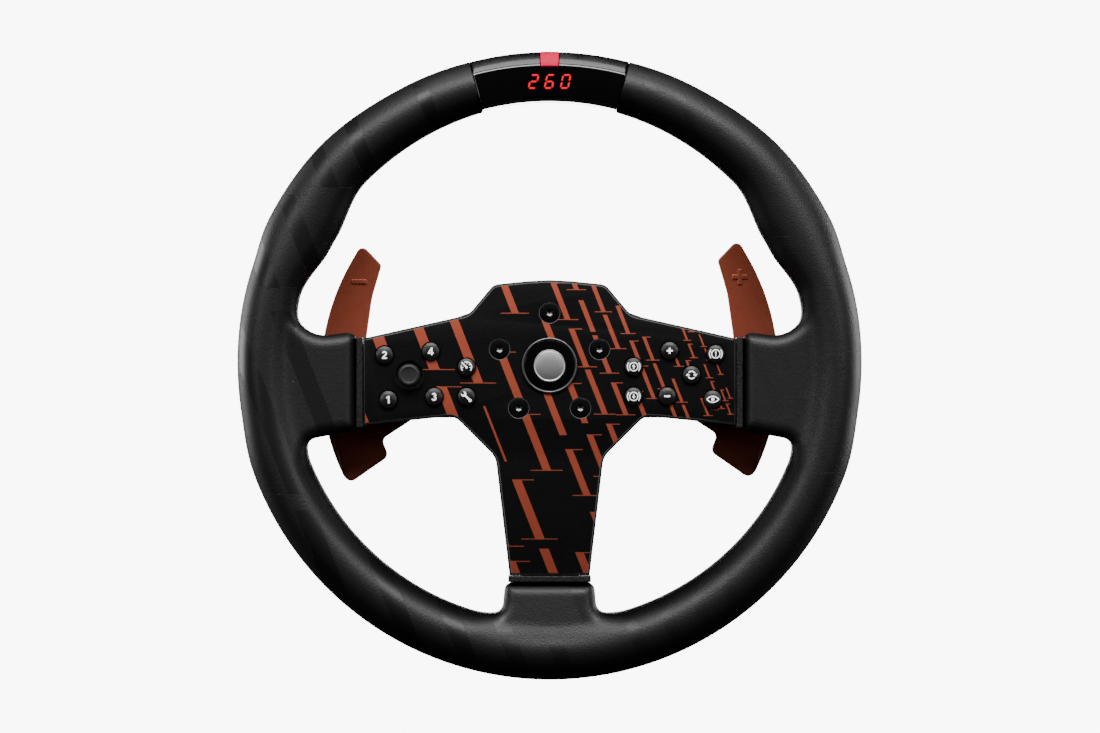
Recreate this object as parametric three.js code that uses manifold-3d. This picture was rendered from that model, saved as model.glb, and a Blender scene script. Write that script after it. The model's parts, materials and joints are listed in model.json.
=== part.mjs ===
// A detachable racing wheel for a driving simulator: a round moulded grip on a metal ring, three
// spokes, a button panel with a thumb joystick, two shift paddles and a quick release at the back.
// Millimetres. X is right and Z is up as the driver sees it; Y points away from the driver, along
// the steering axis. The origin is on that axis, in the rear mating plane of the quick release.
import * as THREE from "three";
import { mergeVertices } from "three/addons/utils/BufferGeometryUtils.js";
import Module from "manifold-3d";

const wasm = await Module();
wasm.setup();

// ---------------------------------------------------------------- driving dimensions
const GAP = 0.3; // between pieces that touch
const FAR = 200; // beyond the whole object, for cutting tools

// The stack along Y, from the back forwards.
const FRAME = { back: -56, front: -60 };
const HOUSING = { back: FRAME.front - GAP, front: -69.7, wall: 2, face: 1.7 };
const PLATE = { back: -70, front: -72 };
const COVER = { front: FRAME.back + GAP, back: -39.3, spokeBack: -48, wall: 2, reach: 64 };
const BOARD = { back: -61, front: -62.5, bottom: -20.5, top: 10.2 };

// The grip: inner and outer radius against the angle from the top, in degrees.
const GRIP_INNER = [
  [0, 125.5], [44, 124.2], [52, 121], [60, 119], [66, 119.9], [72, 123.3], [110, 123], [180, 122.2],
];
const GRIP_OUTER = [
  [0, 149.3], [28, 150.1], [48, 151.7], [62, 151.3], [72, 149.5], [98, 148.9], [110, 150.4], [180, 150],
];
const GRIP = { centre: -62, depth: 32, sides: 12, steps: 64 };
const RING = { inner: 131.8, outer: 140.7, front: -61, back: -55, steps: 64 };

// The display at the top of the rim: half angles in degrees.
const DISPLAY = { half: 14.55, gripStart: 14.85, inner: 125.6, outer: 149.3, split: -62.2 };
const MARKER = { half: 1.75, notchHalf: 1.95, inner: 142, back: -66.8 };

// Spoke sleeves and the trims at their ends.
const SLEEVE = { front: -73.5, back: -53, start: 92.2, top: 15.7, bottom: -31 };
const TRIM = { front: -72.6, back: -53.5, thickness: 3, top: 13.4, bottom: -29.6, footHalf: 19.7 };
const SPOKE = { top: 8, bottom: -22, halfWidth: 14 };
const PANEL_END = 88.6; // half width of the button panel
const PANEL_FOOT = -99.8; // lower end of the button panel
const CENTRE_BORE = 13; // through the frame and the spacer, for the connector's wires

// Face bolts, buttons and joystick.
const BOLTS = { count: 5, circle: 25, shaft: 2.5, hole: 3, head: 4.85, socket: 1.75 };
const BUTTON = { radius: 4.2, hole: 4.7, flange: 5.2, rise: 2.4, travel: 1 };
const JOYSTICK = { x: -66.8, z: -4.6, pivot: -66.2, knob: 5.1, hole: 7 };
const BADGE = { radius: 13.2, hole: 11.6, insert: 10.3 };
const BUTTONS = {
  button_1: [-76.7, -16.3],
  button_2: [-78.5, 5],
  button_3: [-54.9, -14.9],
  button_4: [-56.5, 6.7],
  button_gauge: [-39.5, -0.8],
  button_wrench: [-39.5, -14.9],
  button_brake_up: [40, -0.6],
  button_brake_down: [40, -14.7],
  button_plus: [57.1, 7],
  button_minus: [55.9, -14.6],
  button_cycle: [67.5, -4.5],
  button_alert: [79, 5.5],
  button_eye: [77.6, -16.1],
};

// Paddles and their hinges; the two sides mirror each other apart from their height.
const PADDLE = { front: -46, back: -43, arc: 109.9, arcCentre: -4, offset: 1.15 };
const HINGE = { x: 48, y: -48.4, pin: 1.5, bore: 1.8, knuckle: 3.2, halfHeight: 9.6 };
const EARS = { inner: 10.2, outer: 13.2 }; // heights of a hinge bracket's ears
const MAGNET = { x: 40, radius: 2.5 };

// Quick release.
const HUB = { flange: 31, body: 26, bore: 15, boreDepth: 30, duct: 6, flangeBack: -49.7 };
const COLLAR = { front: -32, back: -10, outer: 30, grooveDepth: 0.8 };
const SCREW = { front: -59, shaft: 1.5, hole: 1.95, head: 2.75, sink: 3.1, sinkDepth: 2.2, socket: 1.2 };
const SCREWS = [[-27, 29], [27, 29], [-14, -86], [14, -86]];

// The button panel's outline, right half from the foot up to the crown: x, z, corner radius.
const PANEL_HALF = [
  [19.1, PANEL_FOOT, 0],
  [25.7, -43.6, 10],
  [45.3, -24, 8],
  [PANEL_END, -28.4, 0],
  [PANEL_END, 12.9, 0],
  [38.6, 24.15, 9],
  [26.6, 38.5, 6],
];
const PANEL = mirrored(PANEL_HALF, [[0, 41.2, 100]]);

// A right half with its mirror image, and the corners between them.
function mirrored(half, between = []) {
  return [...half, ...between, ...half.toReversed().map(([x, z, radius]) => [-x, z, radius])];
}

// ---------------------------------------------------------------- finishes
function finish(color, roughness, metalness) {
  return new THREE.MeshStandardMaterial({ color, roughness, metalness });
}

const MATERIAL = {
  grip: finish(0x1b1b1c, 0.55, 0),
  steel: finish(0x8d9094, 0.35, 1),
  aluminium: finish(0xb4b7ba, 0.4, 1),
  black_plastic: finish(0x111112, 0.5, 0),
  piano_black: finish(0x050505, 0.08, 0),
  panel_black: finish(0x0b0b0c, 0.6, 0.1),
  button: finish(0x222224, 0.45, 0),
  rust: finish(0x8a3b26, 0.45, 0.3),
  black_steel: finish(0x0c0c0d, 0.3, 0.8),
  red_lens: finish(0xd83a50, 0.25, 0),
  board: finish(0x10331f, 0.6, 0),
};

// ---------------------------------------------------------------- shapes and solids
const radians = THREE.MathUtils.degToRad;

// A closed shape from corners of x, z and radius; each radius becomes an arc.
function roundedShape(corners, arcSteps = 4) {
  const points = [];
  corners.forEach(([x, z, radius = 0], i) => {
    const here = new THREE.Vector2(x, z);
    if (!radius) {
      points.push(here);
      return;
    }
    const [before, after] = [corners.at(i - 1), corners[(i + 1) % corners.length]];
    const toBefore = new THREE.Vector2(before[0] - x, before[1] - z).normalize();
    const toAfter = new THREE.Vector2(after[0] - x, after[1] - z).normalize();
    const half = Math.acos(toBefore.dot(toAfter)) / 2;
    const middle = toBefore.clone().add(toAfter).normalize();
    const centre = here.clone().addScaledVector(middle, radius / Math.sin(half));
    const start = here.clone().addScaledVector(toBefore, radius / Math.tan(half)).sub(centre);
    const sweep = (Math.PI - 2 * half) * Math.sign(toAfter.cross(toBefore));
    for (let k = 0; k <= arcSteps; k++) {
      const turned = start.clone().rotateAround(new THREE.Vector2(), (sweep * k) / arcSteps);
      points.push(turned.add(centre));
    }
  });
  return new THREE.Shape(points);
}

// The same corners moved inwards by a distance, for a counterclockwise outline.
function inset(corners, distance) {
  return corners.map(([x, z, radius], i) => {
    const [before, after] = [corners.at(i - 1), corners[(i + 1) % corners.length]];
    const arriving = new THREE.Vector2(x - before[0], z - before[1]).normalize();
    const leaving = new THREE.Vector2(after[0] - x, after[1] - z).normalize();
    const [n1, n2] = [arriving, leaving].map((e) => new THREE.Vector2(-e.y, e.x));
    const move = n1.clone().add(n2).multiplyScalar(distance / (1 + n1.dot(n2)));
    const convex = arriving.cross(leaving) > 0;
    const rounded = radius ? Math.max(radius + (convex ? -distance : distance), 0.5) : 0;
    return [x + move.x, z + move.y, rounded];
  });
}

// A shape drawn in X and Z, extruded along Y.
function slab(shape, back, front, arcSegments = 10) {
  const geometry = new THREE.ExtrudeGeometry(shape, {
    depth: back - front,
    bevelEnabled: false,
    curveSegments: arcSegments,
  });
  return geometry.rotateX(Math.PI / 2).translate(0, back, 0);
}

// A box between two values on each axis.
function block([x0, x1], [y0, y1], [z0, z1]) {
  const box = new THREE.BoxGeometry(x1 - x0, y1 - y0, z1 - z0);
  return box.translate((x0 + x1) / 2, (y0 + y1) / 2, (z0 + z1) / 2);
}

// A cylinder or cone along Y, at x and z.
function rod(radius, front, back, { x = 0, z = 0, sides = 16, backRadius = radius } = {}) {
  const cylinder = new THREE.CylinderGeometry(backRadius, radius, back - front, sides);
  return cylinder.translate(x, (front + back) / 2, z);
}

// A profile of radius and y turned round the Y axis.
function turned(profile, steps) {
  return new THREE.LatheGeometry(profile.map(([r, y]) => new THREE.Vector2(r, y)), steps);
}

// A hole for a shape.
function roundHole(x, z, radius) {
  return new THREE.Path().absarc(x, z, radius, 0, 2 * Math.PI, true);
}

// The solid of a closed geometry.
function solid(geometry) {
  const bare = new THREE.BufferGeometry();
  bare.setAttribute("position", geometry.getAttribute("position").clone());
  bare.setIndex(geometry.index);
  const merged = mergeVertices(bare, 1e-4);
  const mesh = new wasm.Mesh({
    numProp: 3,
    vertProperties: merged.getAttribute("position").array,
    triVerts: new Uint32Array(merged.index.array),
  });
  return new wasm.Manifold(mesh);
}

function joined(...geometries) {
  return geometries.map(solid).reduce((sum, next) => sum.add(next));
}

function cut(from, ...geometries) {
  return geometries.map(solid).reduce((left, next) => left.subtract(next), from);
}

// The geometry of a solid.
function geometryOf(shape) {
  const mesh = shape.getMesh();
  const geometry = new THREE.BufferGeometry();
  geometry.setAttribute("position", new THREE.BufferAttribute(mesh.vertProperties, 3));
  geometry.setIndex(new THREE.BufferAttribute(mesh.triVerts, 1));
  geometry.computeVertexNormals();
  return geometry;
}

// A wedge about the steering axis, with its point on the axis and its middle straight up.
function wedge(halfAngle) {
  const [s, c] = [FAR * Math.sin(radians(halfAngle)), FAR * Math.cos(radians(halfAngle))];
  return slab(new THREE.Shape([[0, 0], [s, c], [-s, c]].map(([x, z]) => new THREE.Vector2(x, z))), 0, -100);
}

// ---------------------------------------------------------------- the object
const wheel = new THREE.Group();

function piece(name, shape, material, parent = wheel) {
  const geometry = shape.isBufferGeometry ? shape : geometryOf(shape);
  const mesh = new THREE.Mesh(geometry, material);
  mesh.name = name;
  parent.add(mesh);
  return mesh;
}

// ---------------------------------------------------------------- rim and spokes
// The value at an angle in a list of [angle, value], easing from each value to the next.
function along(list, angle) {
  const next = Math.max(1, list.findIndex(([at]) => at >= angle));
  const [[a0, v0], [a1, v1]] = [list[next - 1], list[next]];
  const t = THREE.MathUtils.smoothstep(angle, a0, a1);
  return THREE.MathUtils.lerp(v0, v1, t);
}

// A torus whose section widens and narrows round the rim.
function gripTube() {
  const torus = new THREE.TorusGeometry(2, 1, GRIP.sides, GRIP.steps).rotateX(Math.PI / 2);
  const points = torus.getAttribute("position");
  for (let i = 0; i < points.count; i++) {
    const [x, y, z] = [points.getX(i), points.getY(i), points.getZ(i)];
    const ringRadius = Math.hypot(x, z);
    const fromTop = THREE.MathUtils.radToDeg(Math.abs(Math.atan2(x, z)));
    const [inner, outer] = [along(GRIP_INNER, fromTop), along(GRIP_OUTER, fromTop)];
    const radius = (inner + outer) / 2 + ((ringRadius - 2) * (outer - inner)) / 2;
    const scale = radius / ringRadius;
    points.setXYZ(i, x * scale, GRIP.centre + (y * GRIP.depth) / 2, z * scale);
  }
  return torus;
}

// The moulded sleeve over the right spoke, as an outline that runs into the rim.
const SIDE_SLEEVE = [
  [SLEEVE.start, SLEEVE.bottom, 3],
  [107, -33, 12],
  [118, -40, 10],
  [124, -56, 0],
  [130, -56, 0],
  [130, 40, 0],
  [122, 40, 0],
  [118, 19, 12],
  [108, 14.3, 10],
  [SLEEVE.start, SLEEVE.top, 3],
];
const FOOT_SLEEVE = [
  [-40, -130, 0],
  [40, -130, 0],
  [40, -118, 0],
  [24, -116.5, 7],
  [21, -103.4, 3],
  [-21, -103.4, 3],
  [-24, -116.5, 7],
  [-40, -118, 0],
];

// Keeps the sleeves inside the rim's own tube where they run into it.
const rimLimit = turned(
  [[0, SLEEVE.front - 1], [136, SLEEVE.front - 1], [136, SLEEVE.back + 1], [0, SLEEVE.back + 1]],
  RING.steps,
);

function sleeve(corners) {
  const shape = roundedShape(corners, 3);
  const bevel = 2.5;
  const body = new THREE.ExtrudeGeometry(shape, {
    depth: SLEEVE.back - SLEEVE.front - 2 * bevel,
    bevelThickness: bevel,
    bevelSize: bevel,
    bevelOffset: -bevel,
    bevelSegments: 2,
  });
  return solid(body.rotateX(Math.PI / 2).translate(0, SLEEVE.back - bevel, 0)).intersect(solid(rimLimit));
}

// Where the display cable runs: in front of the ring, then inwards along the right spoke.
const CABLE = {
  radius: 1,
  room: 1.5, // half width of its channel
  slot: 1.6, // half width of its slot in the button housing
  ringRadius: 136.2,
  y: -62.4,
  z: -7,
  bend: 4.5,
  end: 81.5,
};

function grip() {
  const side = roundedSleeves();
  const outer = solid(gripTube()).add(side);
  const ringChannel = turned(
    [
      [RING.inner - GAP, RING.front - GAP],
      [CABLE.ringRadius - CABLE.room, RING.front - GAP],
      [CABLE.ringRadius - CABLE.room, CABLE.y - CABLE.room],
      [CABLE.ringRadius + CABLE.room, CABLE.y - CABLE.room],
      [CABLE.ringRadius + CABLE.room, RING.front - GAP],
      [RING.outer + GAP, RING.front - GAP],
      [RING.outer + GAP, RING.back + GAP],
      [RING.inner - GAP, RING.back + GAP],
      [RING.inner - GAP, RING.front - GAP],
    ],
    RING.steps,
  );
  return cut(outer, ringChannel, ...spokeChannels(133), wedge(DISPLAY.gripStart));
}

function roundedSleeves() {
  const right = sleeve(SIDE_SLEEVE);
  const left = right.mirror([1, 0, 0]);
  return right.add(left).add(sleeve(FOOT_SLEEVE));
}

// What the spokes and the display cable pass through on their way to the ring.
function spokeChannels(reach) {
  const y = [FRAME.front - GAP, FRAME.back + GAP];
  const { ringRadius, room, z, bend } = CABLE;
  return [
    block([-reach, reach], y, [SPOKE.bottom - GAP, SPOKE.top + GAP]),
    block([-SPOKE.halfWidth - GAP, SPOKE.halfWidth + GAP], y, [-reach, -50]),
    block([PANEL_END - 6, ringRadius + room], [CABLE.y - room, FRAME.back], [z - bend, z + bend]),
  ];
}

piece("rim_grip", grip(), MATERIAL.grip);

piece(
  "rim_core_ring",
  turned(
    [
      [RING.inner, RING.front],
      [RING.outer, RING.front],
      [RING.outer, RING.back],
      [RING.inner, RING.back],
      [RING.inner, RING.front],
    ],
    RING.steps,
  ),
  MATERIAL.aluminium,
);

function boltHoles(radius, front, back) {
  return boltPlaces().map(([x, z]) => rod(radius, front, back, { x, z, sides: 8 }));
}

function boltPlaces() {
  return Array.from({ length: BOLTS.count }, (_, k) => {
    const angle = radians((360 / BOLTS.count) * k);
    return [BOLTS.circle * Math.sin(angle), BOLTS.circle * Math.cos(angle)];
  });
}

// The flat spider of three spokes that carries everything.
function spokeFrame() {
  const panel = slab(roundedShape(inset(PANEL, 1.2), 2), FRAME.back, FRAME.front);
  const y = [FRAME.front, FRAME.back];
  const across = block([-FAR, FAR], y, [SPOKE.bottom, SPOKE.top]);
  const down = block([-SPOKE.halfWidth, SPOKE.halfWidth], y, [-FAR, 0]);
  const reach = solid(rod(RING.inner - 2 * GAP, FRAME.front - 1, FRAME.back + 1, { sides: RING.steps }));
  const spider = joined(panel, across, down).intersect(reach);
  return cut(
    spider,
    rod(CENTRE_BORE, -FAR, 0),
    ...boltHoles(BOLTS.hole, -FAR, 0),
    ...SCREWS.map(([x, z]) => rod(SCREW.hole, -FAR, 0, { x, z, sides: 8 })),
  );
}
piece("spoke_frame", spokeFrame(), MATERIAL.aluminium);

// Trims: collars round the spokes between the sleeves and the button panel.
function sideTrim() {
  const start = SLEEVE.start - GAP - TRIM.thickness;
  const x = [start, start + TRIM.thickness];
  const collar = block(x, [TRIM.front, TRIM.back], [TRIM.bottom, TRIM.top]);
  return cut(solid(collar), ...spokeChannels(FAR));
}

function footTrim() {
  const top = PANEL_FOOT - GAP;
  const x = [-TRIM.footHalf, TRIM.footHalf];
  const collar = block(x, [TRIM.front, TRIM.back], [top - TRIM.thickness, top]);
  return cut(solid(collar), ...spokeChannels(FAR));
}
piece("right_sleeve_trim", sideTrim(), MATERIAL.black_plastic);
piece("left_sleeve_trim", sideTrim(), MATERIAL.black_plastic).scale.x = -1;
piece("bottom_sleeve_trim", footTrim(), MATERIAL.black_plastic);

// ---------------------------------------------------------------- display
function sector(profile, halfAngle) {
  return solid(turned(profile, GRIP.steps)).intersect(solid(wedge(halfAngle)));
}
const { inner: D_IN, outer: D_OUT, split: D_SPLIT } = DISPLAY;

piece(
  "display_housing",
  sector(
    [
      [D_IN, D_SPLIT],
      [RING.inner - GAP, D_SPLIT],
      [RING.inner - GAP, RING.back + GAP],
      [RING.outer + GAP, RING.back + GAP],
      [RING.outer + GAP, D_SPLIT],
      [D_OUT, D_SPLIT],
      [D_OUT, -52],
      [146, -47.6],
      [137.5, -46.2],
      [129, -47.6],
      [D_IN, -52],
      [D_IN, D_SPLIT],
    ],
    DISPLAY.half,
  ),
  MATERIAL.black_plastic,
);

function displayCover() {
  const rear = D_SPLIT - GAP;
  const shell = sector(
    [
      [D_IN + 2, rear],
      [D_IN + 2, -74.2],
      [139.5, -75.2],
      [145, -73.4],
      [D_OUT - 2, -69.5],
      [D_OUT - 2, rear],
      [D_OUT, rear],
      [D_OUT, -69],
      [148.2, -73],
      [145.4, -76],
      [141.4, -77.3],
      [129.4, -76.6],
      [126.6, -74.9],
      [D_IN, -71.5],
      [D_IN, rear],
      [D_IN + 2, rear],
    ].toReversed(),
    DISPLAY.half,
  );
  const [notchIn, notchOut] = [MARKER.inner - GAP, FAR];
  const [notchFront, notchBack] = [-80, MARKER.back + GAP];
  const notch = sector(
    [
      [notchIn, notchFront],
      [notchOut, notchFront],
      [notchOut, notchBack],
      [notchIn, notchBack],
      [notchIn, notchFront],
    ],
    MARKER.notchHalf,
  );
  return shell.subtract(notch);
}
piece("display_cover", displayCover(), MATERIAL.piano_black);

piece(
  "rev_marker_lens",
  sector(
    [
      [MARKER.inner, -77.4],
      [145.6, -76.4],
      [148.5, -73.2],
      [149.6, -69],
      [149.6, MARKER.back],
      [MARKER.inner, MARKER.back],
      [MARKER.inner, -77.4],
    ],
    MARKER.half,
  ),
  MATERIAL.red_lens,
);

piece(
  "display_module",
  joined(
    block([-22, 22], [-66.3, -64.7], [128.4, 140]),
    block([-13.5, 13.5], [-73.6, -66.2], [128.8, 139]),
  ),
  MATERIAL.board,
);

// The cable from the display down to the right switch board, clipped in the grip's channel.
function displayCable() {
  const { ringRadius, y, z, end } = CABLE;
  const points = [];
  for (let fromTop = 8; fromTop <= 88; fromTop += 8) {
    const angle = radians(fromTop);
    points.push(new THREE.Vector3(ringRadius * Math.sin(angle), y, ringRadius * Math.cos(angle)));
  }
  points.push(
    new THREE.Vector3(ringRadius - 0.3, y, z + 2.8),
    new THREE.Vector3(ringRadius - 3, y, z),
    new THREE.Vector3(ringRadius - 9, y, z),
    new THREE.Vector3(110, y, z),
    new THREE.Vector3(end, y, z),
  );
  const section = new THREE.Shape().absarc(0, 0, CABLE.radius, 0, 2 * Math.PI);
  return new THREE.ExtrudeGeometry(section, {
    steps: 34,
    curveSegments: 3,
    extrudePath: new THREE.CatmullRomCurve3(points),
  });
}
piece("display_cable", displayCable(), MATERIAL.black_plastic);

// ---------------------------------------------------------------- button panel
const buttonPlaces = Object.values(BUTTONS);

function faceplate() {
  const shape = roundedShape(PANEL, 3);
  shape.holes = buttonPlaces.map(([x, z]) => roundHole(x, z, BUTTON.hole));
  shape.holes.push(roundHole(JOYSTICK.x, JOYSTICK.z, JOYSTICK.hole), roundHole(0, 0, BADGE.hole));
  const countersinks = boltPlaces().map(([x, z]) => {
    const sink = { x, z, backRadius: BOLTS.hole + 0.1, sides: 12 };
    return rod(BOLTS.head + 0.5, PLATE.front - 0.05, PLATE.back + 0.2, sink);
  });
  return cut(solid(slab(shape, PLATE.back, PLATE.front, 6)), ...countersinks);
}
piece("faceplate", faceplate(), MATERIAL.panel_black);

function buttonHousing() {
  const shape = roundedShape(inset(PANEL, 0.9), 2);
  const holes = buttonPlaces.map(([x, z]) => roundHole(x, z, BUTTON.hole));
  shape.holes = [...holes, roundHole(JOYSTICK.x, JOYSTICK.z, 6.6)];
  const cavity = roundedShape(inset(PANEL, 0.9 + HOUSING.wall), 2);
  return cut(
    solid(slab(shape, HOUSING.back, HOUSING.front, 5)),
    slab(cavity, HOUSING.back + 1, HOUSING.front + HOUSING.face),
    ...boltHoles(3.2, -FAR, 0),
    block([CABLE.end - 1.5, FAR], [CABLE.y - CABLE.slot, 0], [CABLE.z - CABLE.slot, CABLE.z + CABLE.slot]),
  );
}
piece("button_housing", buttonHousing(), MATERIAL.black_plastic);

const spacerFront = HOUSING.front + HOUSING.face + GAP;
piece(
  "hub_spacer",
  cut(
    solid(rod(HUB.flange, spacerFront, HOUSING.back, { sides: 32 })),
    rod(CENTRE_BORE, -FAR, 0),
    ...boltHoles(BOLTS.hole, -FAR, 0),
  ),
  MATERIAL.aluminium,
);

piece(
  "badge_ring",
  turned(
    [
      [10.6, -73.6],
      [12.4, -74],
      [BADGE.radius, -73.3],
      [BADGE.radius, PLATE.front - GAP],
      [BADGE.hole - 0.5, PLATE.front - GAP],
      [BADGE.hole - 0.5, PLATE.back - 0.1],
      [9.2, PLATE.back - 0.1],
      [9.2, -71.3],
      [10.6, -71.3],
      [10.6, -73.6],
    ],
    24,
  ),
  MATERIAL.steel,
);
piece(
  "badge_insert",
  turned([[0, -74], [6, -73.8], [BADGE.insert, -73.2], [BADGE.insert, -71.7], [0, -71.7]], 24),
  MATERIAL.black_plastic,
);

// A countersunk bolt with a hexagon socket.
function faceBolt() {
  const { head, shaft, socket } = BOLTS;
  const [front, neck, tip] = [PLATE.front + 0.1, -69.5, -51];
  const bolt = turned(
    [
      [0, front],
      [head - 0.2, front],
      [head - 0.2, front + 0.2],
      [shaft, neck],
      [shaft, tip],
      [0, tip],
    ],
    12,
  );
  return cut(solid(bolt), rod(socket, front - 1, neck, { sides: 6 }));
}
boltPlaces().forEach(([x, z], k) => {
  piece(`face_bolt_${k + 1}`, faceBolt(), MATERIAL.black_steel).position.set(x, 0, z);
});

// A push button: domed cap, retaining flange and the stem that presses its switch.
const flangeFront = HOUSING.front + HOUSING.face + GAP;
const stemEnd = BOARD.front - 2.4;
function button() {
  const front = PLATE.front - BUTTON.rise;
  return turned(
    [
      [0, front],
      [2.8, front + 0.4],
      [BUTTON.radius, front + 1.6],
      [BUTTON.radius, flangeFront],
      [BUTTON.flange, flangeFront],
      [BUTTON.flange, flangeFront + 1],
      [1.6, flangeFront + 1],
      [1.6, stemEnd],
      [0, stemEnd],
    ],
    12,
  );
}
for (const [name, [x, z]] of Object.entries(BUTTONS)) {
  piece(name, button(), MATERIAL.button).position.set(x, 0, z);
}

// A circuit board with its soldered push switches, one under each button.
function switchBoard(places, x) {
  const board = block(x, [BOARD.front, BOARD.back], [BOARD.bottom, BOARD.top]);
  const switches = places.flatMap(([sx, sz]) => [
    block([sx - 3, sx + 3], [BOARD.front - 0.6, BOARD.front + 0.1], [sz - 3, sz + 3]),
    rod(1.5, stemEnd + BUTTON.travel + GAP, BOARD.front, { x: sx, z: sz, sides: 8 }),
  ]);
  return joined(board, ...switches);
}
const leftButtons = buttonPlaces.filter(([x]) => x < 0);
const rightButtons = buttonPlaces.filter(([x]) => x > 0);
piece("left_switch_board", switchBoard(leftButtons, [-84.5, -34]), MATERIAL.board);
piece("right_switch_board", switchBoard(rightButtons, [34, 81]), MATERIAL.board);

piece(
  "control_board",
  joined(
    block([-14, 14], [BOARD.front, BOARD.back], [-84, -42]),
    block([-5, 5], [BOARD.front - 1.2, BOARD.front + 0.1], [-66, -56]),
    block([-11, 11], [BOARD.front - 3.5, BOARD.front + 0.1], [-50, -45]),
    block([-6, 6], [BOARD.front - 3.5, BOARD.front + 0.1], [-81, -76]),
  ),
  MATERIAL.board,
);

// ---------------------------------------------------------------- thumb joystick
const stick = new THREE.Group();
stick.position.set(JOYSTICK.x, JOYSTICK.pivot, JOYSTICK.z);
wheel.add(stick);

// Y below is measured from the pivot; negative is towards the driver.
piece(
  "joystick_module",
  cut(
    solid(block([-6.5, 6.5], [-1.5, 3.4], [-6.5, 6.5])),
    rod(5.3, -3, 2.6),
    block([-6.2, 6.2], [-3, 0.8], [-0.8, 0.8]),
  ),
  MATERIAL.black_plastic,
  stick,
);
piece(
  "joystick_gimbal",
  cut(
    joined(rod(4.4, -0.7, 0.7), new THREE.CylinderGeometry(0.5, 0.5, 11.6, 8).rotateZ(Math.PI / 2)),
    rod(2.8, -2, 2),
    block([-0.8, 0.8], [-2, 2], [-3.8, 3.8]),
  ),
  MATERIAL.steel,
  stick,
);
piece(
  "joystick_stem",
  joined(
    new THREE.SphereGeometry(2.2, 12, 8),
    new THREE.CylinderGeometry(0.5, 0.5, 7, 8).rotateX(Math.PI / 2),
    rod(1.6, -9.3, 0, { sides: 12 }),
  ),
  MATERIAL.steel,
  stick,
);
piece(
  "joystick_cap",
  turned(
    [
      [0, -11.6],
      [3.6, -11.6],
      [4.6, -11.2],
      [JOYSTICK.knob, -10.2],
      [JOYSTICK.knob, -6.4],
      [1.9, -6.4],
      [1.9, -10.6],
      [0, -10.6],
    ],
    24,
  ),
  MATERIAL.button,
  stick,
);

// ---------------------------------------------------------------- shift paddles
// The blade's outer edge is an arc about a point just below the steering axis.
function paddleArc(fromAngle, toAngle, steps) {
  return Array.from({ length: steps + 1 }, (_, k) => {
    const angle = radians(THREE.MathUtils.lerp(fromAngle, toAngle, k / steps));
    return [PADDLE.arc * Math.cos(angle), PADDLE.arcCentre + PADDLE.arc * Math.sin(angle), 0];
  });
}

function paddle() {
  const blade = roundedShape([
    [37, -5, 0],
    [44, -5, 0],
    [44, -9.8, 0],
    [54, -9.8, 4],
    [67, -25.7, 0],
    [80.4, -34.4, 3],
    [77.2, -42.6, 3.5],
    [97.6, -56.8, 3.5],
    ...paddleArc(-26.5, 31, 12),
    [90.3, 59.4, 3],
    [80.6, 49.2, 2],
    [85.2, 33.5, 40],
    [88.2, 12, 0],
    [54, 9.8, 4],
    [44, 9.8, 0],
    [44, 5, 0],
    [37, 5, 0],
  ], 3);
  const knuckle = new THREE.CylinderGeometry(HINGE.knuckle, HINGE.knuckle, 2 * HINGE.halfHeight, 16);
  const bore = new THREE.CylinderGeometry(HINGE.bore, HINGE.bore, FAR, 12);
  for (const part of [knuckle, bore]) part.rotateX(Math.PI / 2).translate(HINGE.x, HINGE.y, 0);
  return cut(joined(slab(blade, PADDLE.back, PADDLE.front), knuckle), bore);
}

function hingePin() {
  const pin = new THREE.CylinderGeometry(HINGE.pin, HINGE.pin, 2 * EARS.outer + 1.2, 12);
  return pin.rotateX(Math.PI / 2).translate(HINGE.x, HINGE.y, 0);
}

// The bracket holds the pin in two ears, on a base that screws to the frame.
function bracket() {
  const base = COVER.front + 2;
  const ears = [-1, 1].map((side) => {
    const z = [side * EARS.inner, side * EARS.outer].toSorted((a, b) => a - b);
    return block([43.5, 52.5], [base - 1, HINGE.y + 4], z);
  });
  const bores = new THREE.CylinderGeometry(HINGE.bore, HINGE.bore, FAR, 12);
  return cut(
    joined(block([36.5, 55], [COVER.front, base], [-EARS.outer, EARS.outer]), ...ears),
    bores.rotateX(Math.PI / 2).translate(HINGE.x, HINGE.y, 0),
  );
}

function microswitch() {
  return joined(
    block([56.2, 61.6], [COVER.front, -49.2], [-6.4, 6.4]),
    rod(0.9, -50, -47.1, { x: 58, z: 2.5, sides: 8 }),
  );
}

function magnet() {
  const { x, radius } = MAGNET;
  return rod(radius, COVER.front + 2 + GAP, PADDLE.front - GAP, { x });
}

for (const [side, sign] of [["left", -1], ["right", 1]]) {
  const mount = new THREE.Group();
  mount.position.z = sign * PADDLE.offset;
  mount.scale.x = sign;
  wheel.add(mount);
  piece(`${side}_paddle`, paddle(), MATERIAL.rust, mount);
  piece(`${side}_paddle_pin`, hingePin(), MATERIAL.steel, mount);
  piece(`${side}_paddle_bracket`, bracket(), MATERIAL.black_steel, mount);
  piece(`${side}_paddle_magnet`, magnet(), MATERIAL.steel, mount);
  piece(`${side}_microswitch`, microswitch(), MATERIAL.black_plastic, mount);
}

// ---------------------------------------------------------------- back of the wheel
const CENTRE_HALF = [
  [30, -34, 4],
  [38, -25, 4],
  [COVER.reach, -25, 4],
  [COVER.reach, 16, 4],
  [36, 26, 6],
  [27, 37, 6],
];
const CENTRE_BOX = mirrored(CENTRE_HALF);

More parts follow.
